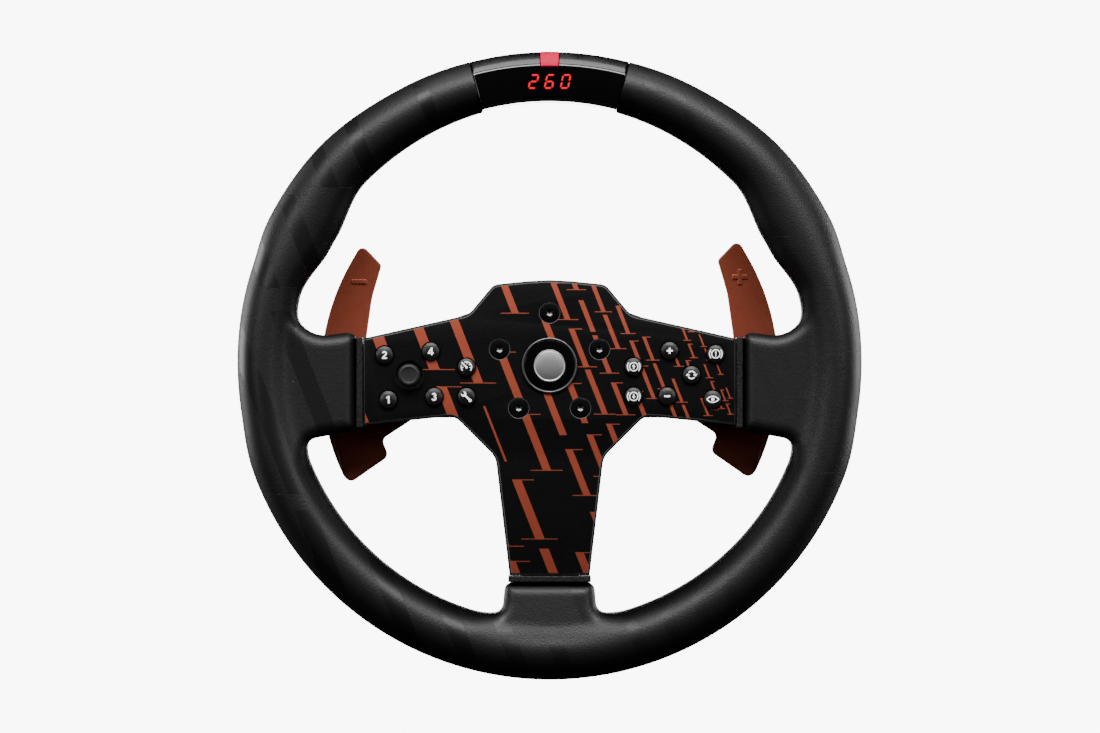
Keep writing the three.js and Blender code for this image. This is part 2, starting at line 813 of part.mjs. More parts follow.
function rearCover() {
  const { front, back, spokeBack, wall, reach } = COVER;
  const within = solid(block([-reach, reach], [-FAR, 0], [-FAR, FAR]));
  const outer = solid(slab(roundedShape(inset(PANEL, 2.4), 2), spokeBack, front))
    .intersect(within)
    .add(solid(slab(roundedShape(CENTRE_BOX, 3), back, front)));
  const innerReach = solid(block([wall - reach, reach - wall], [-FAR, 0], [-FAR, FAR]));
  const cavity = solid(slab(roundedShape(inset(PANEL, 2.4 + wall), 2), spokeBack - wall, front - 1))
    .intersect(innerReach)
    .add(solid(slab(roundedShape(inset(CENTRE_BOX, wall), 3), back - wall, front - 1)));
  const bosses = SCREWS.map(([x, z]) => {
    const seat = z > 0 ? back : spokeBack;
    return rod(3.9, front, seat - 0.5, { x, z, sides: 12 });
  });
  const shell = bosses.map(solid).reduce((sum, next) => sum.add(next), outer.subtract(cavity));
  const armWindows = [-1, 1].map((side) => {
    const x = [side * (reach - wall - 1), side * (reach + 1)].toSorted((a, b) => a - b);
    const lift = side * PADDLE.offset;
    return block(x, [PADDLE.front - 1.8, PADDLE.back + 0.8], [-27 + lift, 13.5 + lift]);
  });
  const screwHoles = SCREWS.flatMap(([x, z]) => {
    const seat = z > 0 ? back : spokeBack;
    const sink = rod(SCREW.sink, seat - SCREW.sinkDepth, 0, { x, z, sides: 12 });
    return [rod(SCREW.hole, -FAR, 0, { x, z, sides: 8 }), sink];
  });
  return cut(shell, rod(HUB.body + 0.6, -FAR, 0, { sides: 32 }), ...armWindows, ...screwHoles);
}
piece("rear_cover", rearCover(), MATERIAL.black_plastic);

// A cap-head screw from the rear cover into the frame, with its head from seat backwards.
function rearScrew(seat) {
  const { front, shaft, head, socket } = SCREW;
  const end = seat + 1.6;
  const screw = turned(
    [
      [0, front],
      [shaft, front],
      [shaft, seat],
      [head, seat],
      [head, end],
      [0, end],
    ],
    10,
  );
  return cut(solid(screw), rod(socket, seat + 0.5, end + 1, { sides: 6 }));
}

SCREWS.forEach(([x, z], k) => {
  const seat = (z > 0 ? COVER.back : COVER.spokeBack) - SCREW.sinkDepth + GAP;
  piece(`rear_cover_screw_${k + 1}`, rearScrew(seat), MATERIAL.black_steel).position.set(x, 0, z);
});

// The wheel's half of the quick release: flange, socket and spring-loaded collar.
function quickReleaseHub() {
  const { flange, body, bore, boreDepth, duct, flangeBack } = HUB;
  const front = FRAME.back + GAP;
  const hub = turned(
    [
      [duct, front],
      [flange, front],
      [flange, flangeBack],
      [body, flangeBack],
      [body, -1],
      [body - 1, 0],
      [bore + 1, 0],
      [bore, -1],
      [bore, -boreDepth],
      [duct, -boreDepth],
      [duct, front],
    ],
    32,
  );
  return cut(solid(hub), ...boltHoles(BOLTS.hole, front - 1, flangeBack - 0.9));
}
piece("quick_release_hub", quickReleaseHub(), MATERIAL.aluminium);

function collar() {
  const { front, back, outer, grooveDepth } = COLLAR;
  const [inside, bottom] = [HUB.body + 0.4, outer - grooveDepth];
  const grooves = [front + 7, front + 12].flatMap((y) => [
    [outer, y],
    [bottom, y + 0.6],
    [bottom, y + 1.8],
    [outer, y + 2.4],
  ]);
  return turned(
    [
      [inside, front],
      [outer - 1, front],
      [outer, front + 1],
      ...grooves,
      [outer, back - 1],
      [outer - 1, back],
      [inside, back],
      [inside, front],
    ],
    28,
  );
}
piece("quick_release_collar", collar(), MATERIAL.black_steel);

function connector() {
  const floor = -HUB.boreDepth;
  const pins = Array.from({ length: 6 }, (_, k) => {
    const angle = radians(60 * k);
    return rod(0.6, floor + 2, floor + 6, { x: 5 * Math.cos(angle), z: 5 * Math.sin(angle), sides: 6 });
  });
  return joined(rod(HUB.duct - GAP, floor - 8, floor + 1), rod(9, floor + GAP, floor + 2.3), ...pins);
}
piece("quick_release_connector", connector(), MATERIAL.black_plastic);

export default wheel;
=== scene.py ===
"""The looks of a racing wheel for a driving simulator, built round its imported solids.

X is right and Z is up as the driver sees the wheel, and Y points away from the driver. Shapes are
written in millimetres and become metres when a mesh is made.
"""

import json
import math

import bmesh
import bpy
import numpy as np
from mathutils import Matrix, Vector

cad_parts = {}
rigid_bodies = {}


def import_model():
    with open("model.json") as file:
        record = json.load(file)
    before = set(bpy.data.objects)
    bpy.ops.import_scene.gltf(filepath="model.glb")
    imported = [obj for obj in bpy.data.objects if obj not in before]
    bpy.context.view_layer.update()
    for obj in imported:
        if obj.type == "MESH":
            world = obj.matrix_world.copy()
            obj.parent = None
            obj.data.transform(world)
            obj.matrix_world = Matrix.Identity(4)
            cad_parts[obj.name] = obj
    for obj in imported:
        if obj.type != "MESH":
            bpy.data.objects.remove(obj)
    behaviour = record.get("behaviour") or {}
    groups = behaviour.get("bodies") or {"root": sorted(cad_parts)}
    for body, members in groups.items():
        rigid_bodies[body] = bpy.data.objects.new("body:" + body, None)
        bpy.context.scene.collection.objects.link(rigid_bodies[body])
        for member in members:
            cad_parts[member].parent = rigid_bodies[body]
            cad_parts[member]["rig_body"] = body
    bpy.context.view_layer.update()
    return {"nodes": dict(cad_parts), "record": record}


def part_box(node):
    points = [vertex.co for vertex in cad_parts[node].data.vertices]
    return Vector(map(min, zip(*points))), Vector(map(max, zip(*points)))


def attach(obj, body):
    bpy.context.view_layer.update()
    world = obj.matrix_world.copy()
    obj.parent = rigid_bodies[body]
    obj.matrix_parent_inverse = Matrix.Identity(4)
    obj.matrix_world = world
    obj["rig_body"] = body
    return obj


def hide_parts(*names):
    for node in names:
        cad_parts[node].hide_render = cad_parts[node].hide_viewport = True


MM = 0.001
ROOT = "wheel_body"

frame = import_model()


# ---------------------------------------------------------------- outlines and profiles
def rounded(corners, closed=True, step=12):
    """Points of an outline whose corners are (x, y) or (x, y, radius), with an arc at each radius.

    The points of an arc are about a step apart, in degrees.
    """
    points = []
    for i, (x, y, *radius) in enumerate(corners):
        here = Vector((x, y))
        end = not closed and i in (0, len(corners) - 1)
        if end or not radius or radius[0] == 0:
            points.append(tuple(here))
            continue
        to_before = (Vector(corners[i - 1][:2]) - here).normalized()
        to_after = (Vector(corners[(i + 1) % len(corners)][:2]) - here).normalized()
        half = math.acos(max(-1, min(1, to_before.dot(to_after)))) / 2
        inward = (to_before + to_after).normalized()
        centre = here + inward * (radius[0] / math.sin(half))
        spoke = here + to_before * (radius[0] / math.tan(half)) - centre
        turn = math.copysign(math.pi - 2 * half, to_after.cross(to_before))
        count = max(2, round(math.degrees(abs(turn)) / step))
        for k in range(count + 1):
            cos, sin = math.cos(turn * k / count), math.sin(turn * k / count)
            across, up = spoke.x * cos - spoke.y * sin, spoke.x * sin + spoke.y * cos
            points.append((centre.x + across, centre.y + up))
    return points


def mirrored(half, between=()):
    """A right half with its mirror image, and the corners between them."""
    return [*half, *between, *[(-x, *rest) for x, *rest in reversed(half)]]


def moved(outline, x, z):
    return [(a + x, b + z) for a, b in outline]


def spun(outline, degrees):
    """An outline turned about the origin."""
    cos, sin = math.cos(math.radians(degrees)), math.sin(math.radians(degrees))
    return [(x * cos - z * sin, x * sin + z * cos) for x, z in outline]


def circle(x, z, radius, count=40):
    """Points round a circle."""
    angles = [2 * math.pi * k / count for k in range(count)]
    return [(x + radius * math.cos(a), z + radius * math.sin(a)) for a in angles]


def arc(x, z, radius, start, end, count=12):
    """Points along an arc, with its angles in degrees from +X."""
    angles = [math.radians(start + (end - start) * k / count) for k in range(count + 1)]
    return [(x + radius * math.cos(a), z + radius * math.sin(a)) for a in angles]


def band(radius, thick, start, end):
    """An arc with a thickness."""
    outer = arc(0, 0, radius + thick / 2, start, end)
    return outer + arc(0, 0, radius - thick / 2, end, start)


def box_shape(x, z, width, height, turn=0.0):
    """A rectangle about a middle, turned by degrees."""
    w, h = width / 2, height / 2
    return moved(spun([(-w, -h), (w, -h), (w, h), (-w, h)], turn), x, z)


def stroke(x0, z0, x1, z1, thick):
    """A straight stroke between two points."""
    length = math.hypot(x1 - x0, z1 - z0)
    turn = math.degrees(math.atan2(z1 - z0, x1 - x0))
    return box_shape((x0 + x1) / 2, (z0 + z1) / 2, length, thick, turn)


def cross(arm, half):
    """An upright cross, from the reach of its arms and half their width."""
    quarter = [(arm, -half), (arm, half), (half, half)]
    points = []
    for _ in range(4):
        points += quarter
        quarter = [(-z, x) for x, z in quarter]
    return points


# ---------------------------------------------------------------- meshes
WELD = 0.002  # vertices closer than this are one


def new_piece(name, bm, look, body=ROOT, replaces=(), sharp=35):
    """Links a bmesh in millimetres as a piece that rides on a body."""
    mesh = finished_mesh(name, bm, sharp)
    mesh.materials.append(MATERIAL[look])
    piece = bpy.data.objects.new(name, mesh)
    bpy.context.scene.collection.objects.link(piece)
    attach(piece, body)
    if replaces:
        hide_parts(*replaces)
    return piece


def finished_mesh(name, bm, sharp=35):
    """The mesh of a bmesh in millimetres: welded, facing out, smooth up to an angle in degrees."""
    bmesh.ops.remove_doubles(bm, verts=bm.verts, dist=WELD)
    bmesh.ops.recalc_face_normals(bm, faces=bm.faces)
    bmesh.ops.scale(bm, vec=(MM, MM, MM), verts=bm.verts)
    mesh = bpy.data.meshes.new(name)
    bm.to_mesh(mesh)
    bm.free()
    mesh.shade_smooth()
    mesh.set_sharp_from_angle(angle=math.radians(sharp))
    return mesh


def merge_into(bm, other):
    """Adds another bmesh to a bmesh."""
    mesh = bpy.data.meshes.new("merge")
    other.to_mesh(mesh)
    other.free()
    bm.from_mesh(mesh)
    bpy.data.meshes.remove(mesh)


def bevel_sharp(bm, width):
    """Bevels every edge whose faces meet at more than 40 degrees."""
    limit = math.radians(40)
    sharp = [e for e in bm.edges if len(e.link_faces) == 2 and e.calc_face_angle() > limit]
    bmesh.ops.bevel(
        bm, geom=sharp, offset=width, segments=2, profile=0.5, affect="EDGES", clamp_overlap=True
    )


def turned(profile, x=0.0, z=0.0, steps=64, sweep=360.0, start=0.0):
    """A bmesh of a closed profile of (radius, y), turned round an axis along Y at x and z."""
    bm = bmesh.new()
    whole = sweep == 360.0
    count = steps if whole else steps + 1
    angles = [math.radians(start + sweep * k / steps) for k in range(count)]
    rings = [
        [bm.verts.new((x + r * math.sin(a), y, z + r * math.cos(a))) for r, y in profile]
        for a in angles
    ]
    following_rings = rings[1:] + rings[:1] if whole else rings[1:]
    for ring, following in zip(rings, following_rings):
        for i in range(len(profile)):
            bm.faces.new((ring[i - 1], ring[i], following[i], following[i - 1]))
    if not whole:
        bm.faces.new(rings[0])
        bm.faces.new(rings[-1])
    bmesh.ops.remove_doubles(bm, verts=bm.verts, dist=WELD)
    return bm


def plate(outline, front, back, bevel=0.3, inset=0.0, holes=()):
    """A bmesh of an outline in X and Z with holes, from front to back along Y, with bevelled edges.

    An inset pulls its edge in from the outline.
    """
    curve = bpy.data.curves.new("outline", "CURVE")
    curve.dimensions = "2D"
    curve.fill_mode = "BOTH"
    curve.extrude = (back - front) / 2 - bevel
    curve.bevel_depth = bevel
    curve.bevel_resolution = 2
    curve.offset = -bevel - inset
    for loop in (outline, *[hole[::-1] for hole in holes]):
        spline = curve.splines.new("POLY")
        spline.points.add(len(loop) - 1)
        spline.points.foreach_set("co", [value for x, z in loop for value in (x, z, 0, 1)])
        spline.use_cyclic_u = True
    maker = bpy.data.objects.new("outline", curve)
    mesh = bpy.data.meshes.new_from_object(maker)
    bm = bmesh.new()
    bm.from_mesh(mesh)
    bpy.data.objects.remove(maker)
    bpy.data.curves.remove(curve)
    bpy.data.meshes.remove(mesh)
    middle_y = Matrix.Translation((0, (front + back) / 2, 0))
    upright = Matrix.Rotation(math.pi / 2, 4, "X")
    bmesh.ops.transform(bm, matrix=middle_y @ upright, verts=bm.verts)
    bmesh.ops.remove_doubles(bm, verts=bm.verts, dist=WELD)
    return bm


def soften(node, width, look):
    """Replaces a black plastic CAD node by the same shape with its sharp edges bevelled."""
    source = frame["nodes"][node]
    bm = bmesh.new()
    bm.from_mesh(source.data)
    bmesh.ops.scale(bm, vec=(1 / MM, 1 / MM, 1 / MM), verts=bm.verts)
    bmesh.ops.remove_doubles(bm, verts=bm.verts, dist=0.01)
    flat = math.radians(0.3)
    bmesh.ops.dissolve_limit(bm, angle_limit=flat, verts=bm.verts, edges=bm.edges)
    bevel_sharp(bm, width)
    new_piece(node + "_shape", bm, look, source["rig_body"], [node], 25)


def carve(piece, cutter, operation="DIFFERENCE"):
    """Cuts a piece's mesh with a bmesh in millimetres."""
    tool = bpy.data.objects.new("cutter", finished_mesh("cutter", cutter))
    bpy.context.scene.collection.objects.link(tool)
    step = piece.modifiers.new("cut", "BOOLEAN")
    step.operation = operation
    step.object = tool
    step.solver = "EXACT"
    step.use_self = True
    graph = bpy.context.evaluated_depsgraph_get()
    mesh = bpy.data.meshes.new_from_object(piece.evaluated_get(graph))
    mesh.name = piece.name
    mesh.set_sharp_from_angle(angle=math.radians(25))
    piece.modifiers.clear()
    piece.data = mesh
    bpy.data.objects.remove(tool)


def middle(node):
    """The middle of a CAD node's box, in millimetres."""
    low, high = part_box(node)
    return (low + high) / 2 / MM


def depth_of(node):
    """The Y of a CAD node's front and back, in millimetres."""
    low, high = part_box(node)
    return low.y / MM, high.y / MM


# ---------------------------------------------------------------- material nodes
def grey(value):
    return (value, value, value)


class Graph:
    """A material's nodes. Each call adds a node and returns its output."""

    def __init__(self, name, metallic=0.0, specular=0.5, coat=0.0, coat_roughness=0.03):
        self.material = bpy.data.materials.new(name)
        self.material.use_nodes = True
        self.tree = self.material.node_tree
        self.shader = self.tree.nodes["Principled BSDF"]
        self.shader.inputs["Metallic"].default_value = metallic
        self.shader.inputs["Specular IOR Level"].default_value = specular
        self.shader.inputs["Coat Weight"].default_value = coat
        self.shader.inputs["Coat Roughness"].default_value = coat_roughness
        self.place = self.add("TexCoord", output="Object")

    def add(self, kind, inputs=(), output=0, **settings):
        node = self.tree.nodes.new("ShaderNode" + kind)
        for key, value in settings.items():
            setattr(node, key, value)
        for key, value in dict(inputs).items():
            self.feed(node.inputs[key], value)
        return node.outputs[output]

    def feed(self, socket, value):
        if isinstance(value, bpy.types.NodeSocket):
            self.tree.links.new(value, socket)
        else:
            socket.default_value = value

    def math(self, operation, *values):
        return self.add("Math", enumerate(values), operation=operation)

    def product(self, first, *others):
        total = first
        for value in others:
            total = self.math("MULTIPLY", total, value)
        return total

    def between(self, value, low, high):
        """1 where a value is between two limits, and 0 elsewhere."""
        above = self.math("GREATER_THAN", value, low)
        return self.product(above, self.math("LESS_THAN", value, high))

    def split(self, vector):
        """X, Y and Z of a vector."""
        node = self.tree.nodes.new("ShaderNodeSeparateXYZ")
        self.tree.links.new(vector, node.inputs[0])
        return node.outputs

    def axes(self):
        """X, Y and Z in millimetres."""
        inputs = {0: self.place, "Scale": 1 / MM}
        return self.split(self.add("VectorMath", inputs, operation="SCALE"))

    def turned_away(self):
        """Y of the surface's direction: -1 where it faces the driver, 0 where it is side on."""
        return self.split(self.add("NewGeometry", output="Normal"))[1]

    def noise(self, size, detail):
        """Noise whose blobs are about a size in millimetres, from 0 to 1."""
        inputs = {"Vector": self.place, "Scale": 1 / (size * MM), "Detail": detail}
        return self.add("TexNoise", inputs)

    def cells(self, size):
        """Distance to the nearest of cells about a size in millimetres."""
        inputs = {"Vector": self.place, "Scale": 1 / (size * MM)}
        return self.add("TexVoronoi", inputs, output="Distance")

    def ramp(self, value, low, high, to_low=0.0, to_high=1.0):
        inputs = {
            "Value": value, "From Min": low, "From Max": high, "To Min": to_low, "To Max": to_high
        }
        return self.add("MapRange", inputs)

    def blend(self, factor, first, second):
        """A mix of two colours or colour outputs."""
        def full(colour):
            return (*colour, 1) if isinstance(colour, tuple) else colour

        inputs = {"Factor": factor, 6: full(first), 7: full(second)}
        return self.add("Mix", inputs, output=2, data_type="RGBA")

    def colour(self, value):
        self.feed(self.shader.inputs["Base Color"], value)

    def roughness(self, value):
        self.feed(self.shader.inputs["Roughness"], value)

    def bump(self, *layers):
        """Adds bumps of (height output, depth in millimetres), one on another."""
        normal = None
        for height, depth in layers:
            inputs = {"Height": height, "Strength": 1.0, "Distance": depth * MM}
            if normal:
                inputs["Normal"] = normal
            normal = self.add("Bump", inputs)
        self.feed(self.shader.inputs["Normal"], normal)


# ---------------------------------------------------------------- slanted dashes
LEAN = 0.394  # how far a dash moves sideways for each millimetre down
THINNING_WIDTH = 200.0  # over which more and more bars are left out, up to u = vanish
BARE_WIDTH = 18.0  # left without bars, just short of u = vanish


def slanted_dashes(g, vanish, crowding, row_height, bar, tick, thinning):
    """Leaning bars with level ticks at their ends, smaller and smaller towards u = vanish.

    Returns a mask of the bars and a mask of the ticks. A bar is a share of its column wide, a tick
    is so many millimetres thick, and thinning is the share of bars left out near u = vanish.
    """
    x, _, z = g.axes()
    u = g.math("ADD", x, g.math("MULTIPLY", z, LEAN))
    room = g.math("MAXIMUM", g.math("SUBTRACT", vanish, u), 0.5)
    nearness = g.math("LOGARITHM", g.math("DIVIDE", vanish, room), math.e)
    columns = g.math("MULTIPLY", nearness, crowding)
    column = g.math("FLOOR", columns)
    across = g.math("FRACT", columns)
    shrink = g.math("EXPONENT", g.math("DIVIDE", g.math("ADD", column, 0.5), -crowding))
    height = g.math("MULTIPLY", shrink, row_height * vanish / crowding)
    shift = g.add("TexWhiteNoise", {"W": column}, noise_dimensions="1D")
    rows = g.math("ADD", g.math("DIVIDE", z, height), g.math("MULTIPLY", shift, 7.0))
    up = g.math("FRACT", rows)
    seed = g.add("CombineXYZ", {0: column, 1: g.math("FLOOR", rows)})
    chance = g.add("TexWhiteNoise", {"Vector": seed}, noise_dimensions="2D")
    length = g.ramp(chance, 0, 1, 0.6, 0.95)
    left, right = 0.5 - bar / 2, 0.5 + bar / 2
    left_out = g.ramp(u, vanish - THINNING_WIDTH, vanish, 0.2, thinning)
    kept = g.math("GREATER_THAN", chance, left_out)
    shown = g.math("MULTIPLY", kept, g.math("LESS_THAN", u, vanish - BARE_WIDTH))
    bars = g.product(shown, g.between(across, left, right), g.math("LESS_THAN", up, length))
    thick = g.math("DIVIDE", tick, height)
    at_foot = g.math("LESS_THAN", up, thick)
    lower = g.product(at_foot, shown, g.math("GREATER_THAN", chance, 0.45))
    at_head = g.between(up, g.math("SUBTRACT", length, thick), length)
    right_of_bar = g.math("GREATER_THAN", across, left)
    upper = g.product(right_of_bar, at_head, shown, g.math("LESS_THAN", chance, 0.8))
    return bars, g.math("MAXIMUM", lower, upper)


# ---------------------------------------------------------------- materials
def grip_rubber():
    """Matte black rubber with a fine grain, smoother along wide slanted bars."""
    g = Graph("grip_rubber")
    bars, ticks = slanted_dashes(g, 330.0, 18.0, 4.0, 0.36, 0.5, 0.25)
    x, _, z = g.axes()
    fade = g.ramp(x, -60, 100, 1.0, 0.15)
    smooth = g.math("MULTIPLY", bars, fade)
    line = g.math("MULTIPLY", ticks, fade)
    base = g.blend(g.noise(30, 3), (0.0022, 0.0022, 0.0023), (0.0034, 0.0034, 0.0035))
    g.colour(g.blend(g.math("MAXIMUM", smooth, line), base, (0.0022, 0.0022, 0.0023)))
    g.roughness(g.ramp(smooth, 0, 1, 0.5, 0.41))
    g.feed(g.shader.inputs["Specular IOR Level"], rim_sheen(g, x, z))
    grain = g.math("MULTIPLY", g.cells(0.8), g.ramp(smooth, 0, 1, 1.0, 0.35))
    groove = g.math("SUBTRACT", g.math("MULTIPLY", smooth, -1.0), g.math("MULTIPLY", line, 2.0))
    g.bump((groove, 0.07), (grain, 0.07), (g.noise(0.35, 2), 0.02))
    return g.material


def rim_sheen(g, x, z):
    """Strength of the rubber's sheen, which the rim's inner side hardly has."""
    radius = g.math("SQRT", g.math("ADD", g.math("MULTIPLY", x, x), g.math("MULTIPLY", z, z)))
    normal = g.split(g.add("TexCoord", output="Normal"))
    along = g.math("ADD", g.math("MULTIPLY", normal[0], x), g.math("MULTIPLY", normal[2], z))
    return g.ramp(g.math("DIVIDE", along, radius), -0.9, -0.4, 0.04, 0.45)


COLLAR_X = 87.2  # from here outwards the collars hide the panel's edge


def printed_panel():
    """Satin black plate printed with rust-coloured slanted dashes, lighter towards the top as painted
    light; its bevelled edge is painted grey as a highlight.
    """
    g = Graph("printed_panel", specular=0.12)
    bars, ticks = slanted_dashes(g, 101.0, 8.0, 2.15, 0.26, 0.4, 0.58)
    x, _, z = g.axes()
    # The print is lighter towards the top and darker low down: painted light from above.
    height = g.ramp(z, -100, 40)
    rust = g.blend(height, (0.21, 0.038, 0.02), (0.35, 0.068, 0.036))
    dark_rust = g.blend(height, (0.18, 0.033, 0.017), (0.31, 0.06, 0.031))
    rust = g.blend(g.noise(2.5, 3), rust, dark_rust)
    black = g.blend(g.noise(14, 4), (0.0015, 0.0015, 0.0016), (0.003, 0.003, 0.0031))
    printed = g.math("MAXIMUM", bars, ticks)
    # The bevel facets and the sunk rings round the bolts are painted grey between the collars: a painted
    # highlight.
    bevel = g.between(g.turned_away(), -0.985, -0.4)
    edge_highlight_mask = g.math("MULTIPLY", bevel, g.between(x, -COLLAR_X, COLLAR_X))
    g.colour(g.blend(edge_highlight_mask, g.blend(printed, black, rust), (0.1, 0.1, 0.103)))
    g.roughness(g.ramp(g.noise(1.2, 2), 0.3, 0.7, 0.42, 0.55))
    g.bump((printed, 0.02), (g.noise(0.5, 2), 0.012))
    return g.material


def moulded_plastic(name, shade, roughness, grain, depth, specular=0.5):
    """Grained plastic of one shade, a little uneven."""
    g = Graph(name, specular=specular)
    g.colour(g.blend(g.noise(8, 3), grey(0.85 * shade), grey(1.15 * shade)))
    g.roughness(g.ramp(g.noise(3, 2), 0.3, 0.7, roughness - 0.05, roughness + 0.07))
    g.bump((g.cells(grain), depth))
    return g.material


def speckled_plastic():
    """Coarse-grained black plastic with paler specks."""
    g = Graph("speckled_plastic", specular=0.25)
    specks = g.ramp(g.noise(0.9, 2), 0.4, 0.65)
    g.colour(g.blend(specks, grey(0.003), grey(0.016)))
    g.roughness(g.ramp(specks, 0, 1, 0.6, 0.42))
    g.bump((specks, 0.08))
    return g.material


def gloss_black():
    """Piano black lacquer with faint haze."""
    g = Graph("gloss_black", coat=0.6)
    g.colour(g.blend(g.noise(20, 2), (0.001, 0.001, 0.0011), (0.002, 0.002, 0.0021)))
    g.roughness(g.ramp(g.noise(9, 3), 0.3, 0.7, 0.1, 0.17))
    g.bump((g.noise(6, 1), 0.004))
    return g.material


def metal(name, shade, roughness):
    """Metal with fine machining marks."""
    g = Graph(name, metallic=1.0)
    marks = g.noise(0.25, 2)
    g.colour(g.blend(marks, grey(0.9 * shade), grey(shade)))
    g.roughness(g.ramp(marks, 0.3, 0.7, roughness - 0.03, roughness + 0.04))
    g.bump((marks, 0.001))
    return g.material


def spun_metal():
    """Metal with the fine rings a lathe leaves."""
    g = Graph("spun_metal", metallic=1.0)
    inputs = {"Vector": g.place, "Scale": 420.0}
    rings = g.add("TexWave", inputs, wave_type="RINGS", rings_direction="Y")
    g.colour(g.blend(rings, (0.62, 0.62, 0.63), (0.8, 0.8, 0.81)))
    g.roughness(g.ramp(rings, 0, 1, 0.34, 0.42))
    g.bump((rings, 0.004))
    return g.material


def paddle_paint():
    """Rust-coloured satin paint with a fine texture, with a painted highlight on its upper edges and
    painted shade low down.
    """
    g = Graph("paddle_paint", specular=0.35, coat=0.05, coat_roughness=0.3)
    _, _, z = g.axes()
    # height goes from 0 low down to 1 up high.
    height = g.ramp(z, -45, 10)
    cloud = g.noise(12, 3)
    # A lit and a shaded copy of the paint, blended by height: painted shade low down, from the light
    # above.
    high = g.blend(cloud, (0.15, 0.027, 0.011), (0.18, 0.033, 0.013))
    low = g.blend(cloud, (0.1, 0.016, 0.006), (0.12, 0.02, 0.008))
    # Bevel facets turned partly forward get a pale painted highlight, stronger up high where the light
    # from above catches them.
    away = g.turned_away()
    edge_highlight_mask = g.math("MULTIPLY", g.ramp(away, -0.95, -0.75), g.ramp(away, -0.1, -0.5))
    painted_edge_highlight = g.math("MULTIPLY", edge_highlight_mask, height)
    g.colour(g.blend(painted_edge_highlight, g.blend(height, low, high), (0.6, 0.17, 0.08)))
    g.roughness(g.ramp(g.noise(2, 3), 0.3, 0.7, 0.38, 0.5))
    g.bump((g.noise(0.4, 2), 0.015))
    return g.material


def glowing(name, colour, strength):
    """Plastic that glows, a little unevenly: lit from inside for the digits and marker, a painted glow
    for the button symbols.
    """
    g = Graph(name, specular=0.15)
    glow = g.blend(g.noise(1.5, 1), tuple(0.8 * c for c in colour), colour)
    g.colour(glow)
    g.feed(g.shader.inputs["Emission Color"], glow)
    g.shader.inputs["Emission Strength"].default_value = strength
    return g.material


def circuit_board():
    """Green solder mask with faint copper lines under it."""
    g = Graph("circuit_board")
    inputs = {"Vector": g.place, "Scale": 260.0, "Distortion": 6.0, "Detail": 2.0}
    lines = g.add("TexWave", inputs)
    g.colour(g.blend(g.ramp(lines, 0.45, 0.55), (0.008, 0.05, 0.022), (0.02, 0.11, 0.045)))
    g.bump((lines, 0.01))
    return g.material


MATERIAL = {
    "grip": grip_rubber(),
    "panel": printed_panel(),
    "trim": speckled_plastic(),
    "plastic": moulded_plastic("black_plastic", 0.008, 0.45, 0.5, 0.02),
    "button": moulded_plastic("button_plastic", 0.007, 0.32, 0.35, 0.006),
    "stick": moulded_plastic("stick_rubber", 0.014, 0.5, 0.4, 0.02, specular=0.35),
    "gloss": gloss_black(),
    # The white symbols glow only as painted light, to look as bright as lit print.
    "symbol": glowing("symbol_painted_glow", (0.9, 0.9, 0.9), 1.3),
    "paddle": paddle_paint(),
    "aluminium": metal("machined_aluminium", 0.62, 0.3),
    "black_metal": metal("black_metal", 0.03, 0.32),
    "steel": metal("turned_steel", 0.5, 0.25),
    "satin": spun_metal(),
    "rim": metal("badge_metal", 0.22, 0.34),
    "socket": metal("socket_metal", 0.12, 0.24),
    "digit": glowing("digit_light", (0.8, 0.0, 0.015), 0.42),
    "marker": glowing("marker_lens", (0.62, 0.002, 0.05), 0.2),
    "board": circuit_board(),
}

# The look of a CAD node, from its material slot.
CAD_LOOK = {
    "steel": "steel",
    "aluminium": "aluminium",
    "black_plastic": "plastic",
    "piano_black": "gloss",
    "panel_black": "plastic",
    "button": "button",
    "rust": "paddle",
    "black_steel": "black_metal",
    "red_lens": "marker",
    "board": "board",
    "grip": "grip",
}
DARK_NODES = ("joystick_gimbal", "joystick_stem")


def dress_cad_nodes():
    """Gives each CAD node the look of its slot, and blackens the metal under the joystick."""
    for part in frame["record"]["subparts"]:
        node = frame["nodes"][part["node"]]
        look = "black_metal" if part["node"] in DARK_NODES else CAD_LOOK[part["material_slot"]]
        node.data.materials.clear()
        node.data.materials.append(MATERIAL[look])


# ---------------------------------------------------------------- grip
# The rim's radius inside and outside, by the angle in degrees from the top.
GRIP_INNER = [
    (0, 125.1), (45, 123.7), (59, 118.4), (62.5, 118.4), (74.5, 123.3), (110, 122.8), (180, 122)
]
GRIP_OUTER = [
    (0, 149.3), (28, 150.1), (48, 151.7), (62, 151.3), (72, 149.5), (98, 148.88), (110, 150.4),
    (180, 150),
]
GRIP_MIDDLE, GRIP_HALF_DEPTH = -62.0, 15.98
GRIP_END = 14.78  # degrees from the top, beside the display
GRIP_SPACE = (-153, -80, -153), (153, -44, 153)  # a box round the whole grip
GRIP_CELL = 1.3  # how far apart its vertices are
SLEEVE_FRONT, SLEEVE_BACK, SLEEVE_EDGE = -73.5, -53.0, 6.0
FOOT_SLOPE = 0.11  # how far the lower sleeve leans back for each millimetre up
FOOT_MIDDLE = -114.0  # the height where it doesn't
SLEEVE_FILLET = 4.0

SIDE_SLEEVE = rounded([
    (92.2, -31, 4), (115.4, -35.3, 6), (120, -56), (134, -56), (134, 45), (123.4, 45),
    (120.8, 12.6, 15), (92.2, 16.2, 4),
])
FOOT_SLEEVE = rounded([
    (-21.3, -103.4, 4), (-22.5, -117.6, 6), (-40, -121), (-40, -132), (40, -132), (40, -121),
    (22.5, -117.6, 6), (21.3, -103.4, 4),
])


def eased(table, angle):
    """The value at each angle in a table of (angle, value), easing from each value to the next."""
    at, value = np.array(table).T
    i = np.clip(np.searchsorted(at, angle), 1, len(at) - 1)
    t = np.clip((angle - at[i - 1]) / (at[i] - at[i - 1]), 0, 1)
    return value[i - 1] + (value[i] - value[i - 1]) * t * t * (3 - 2 * t)


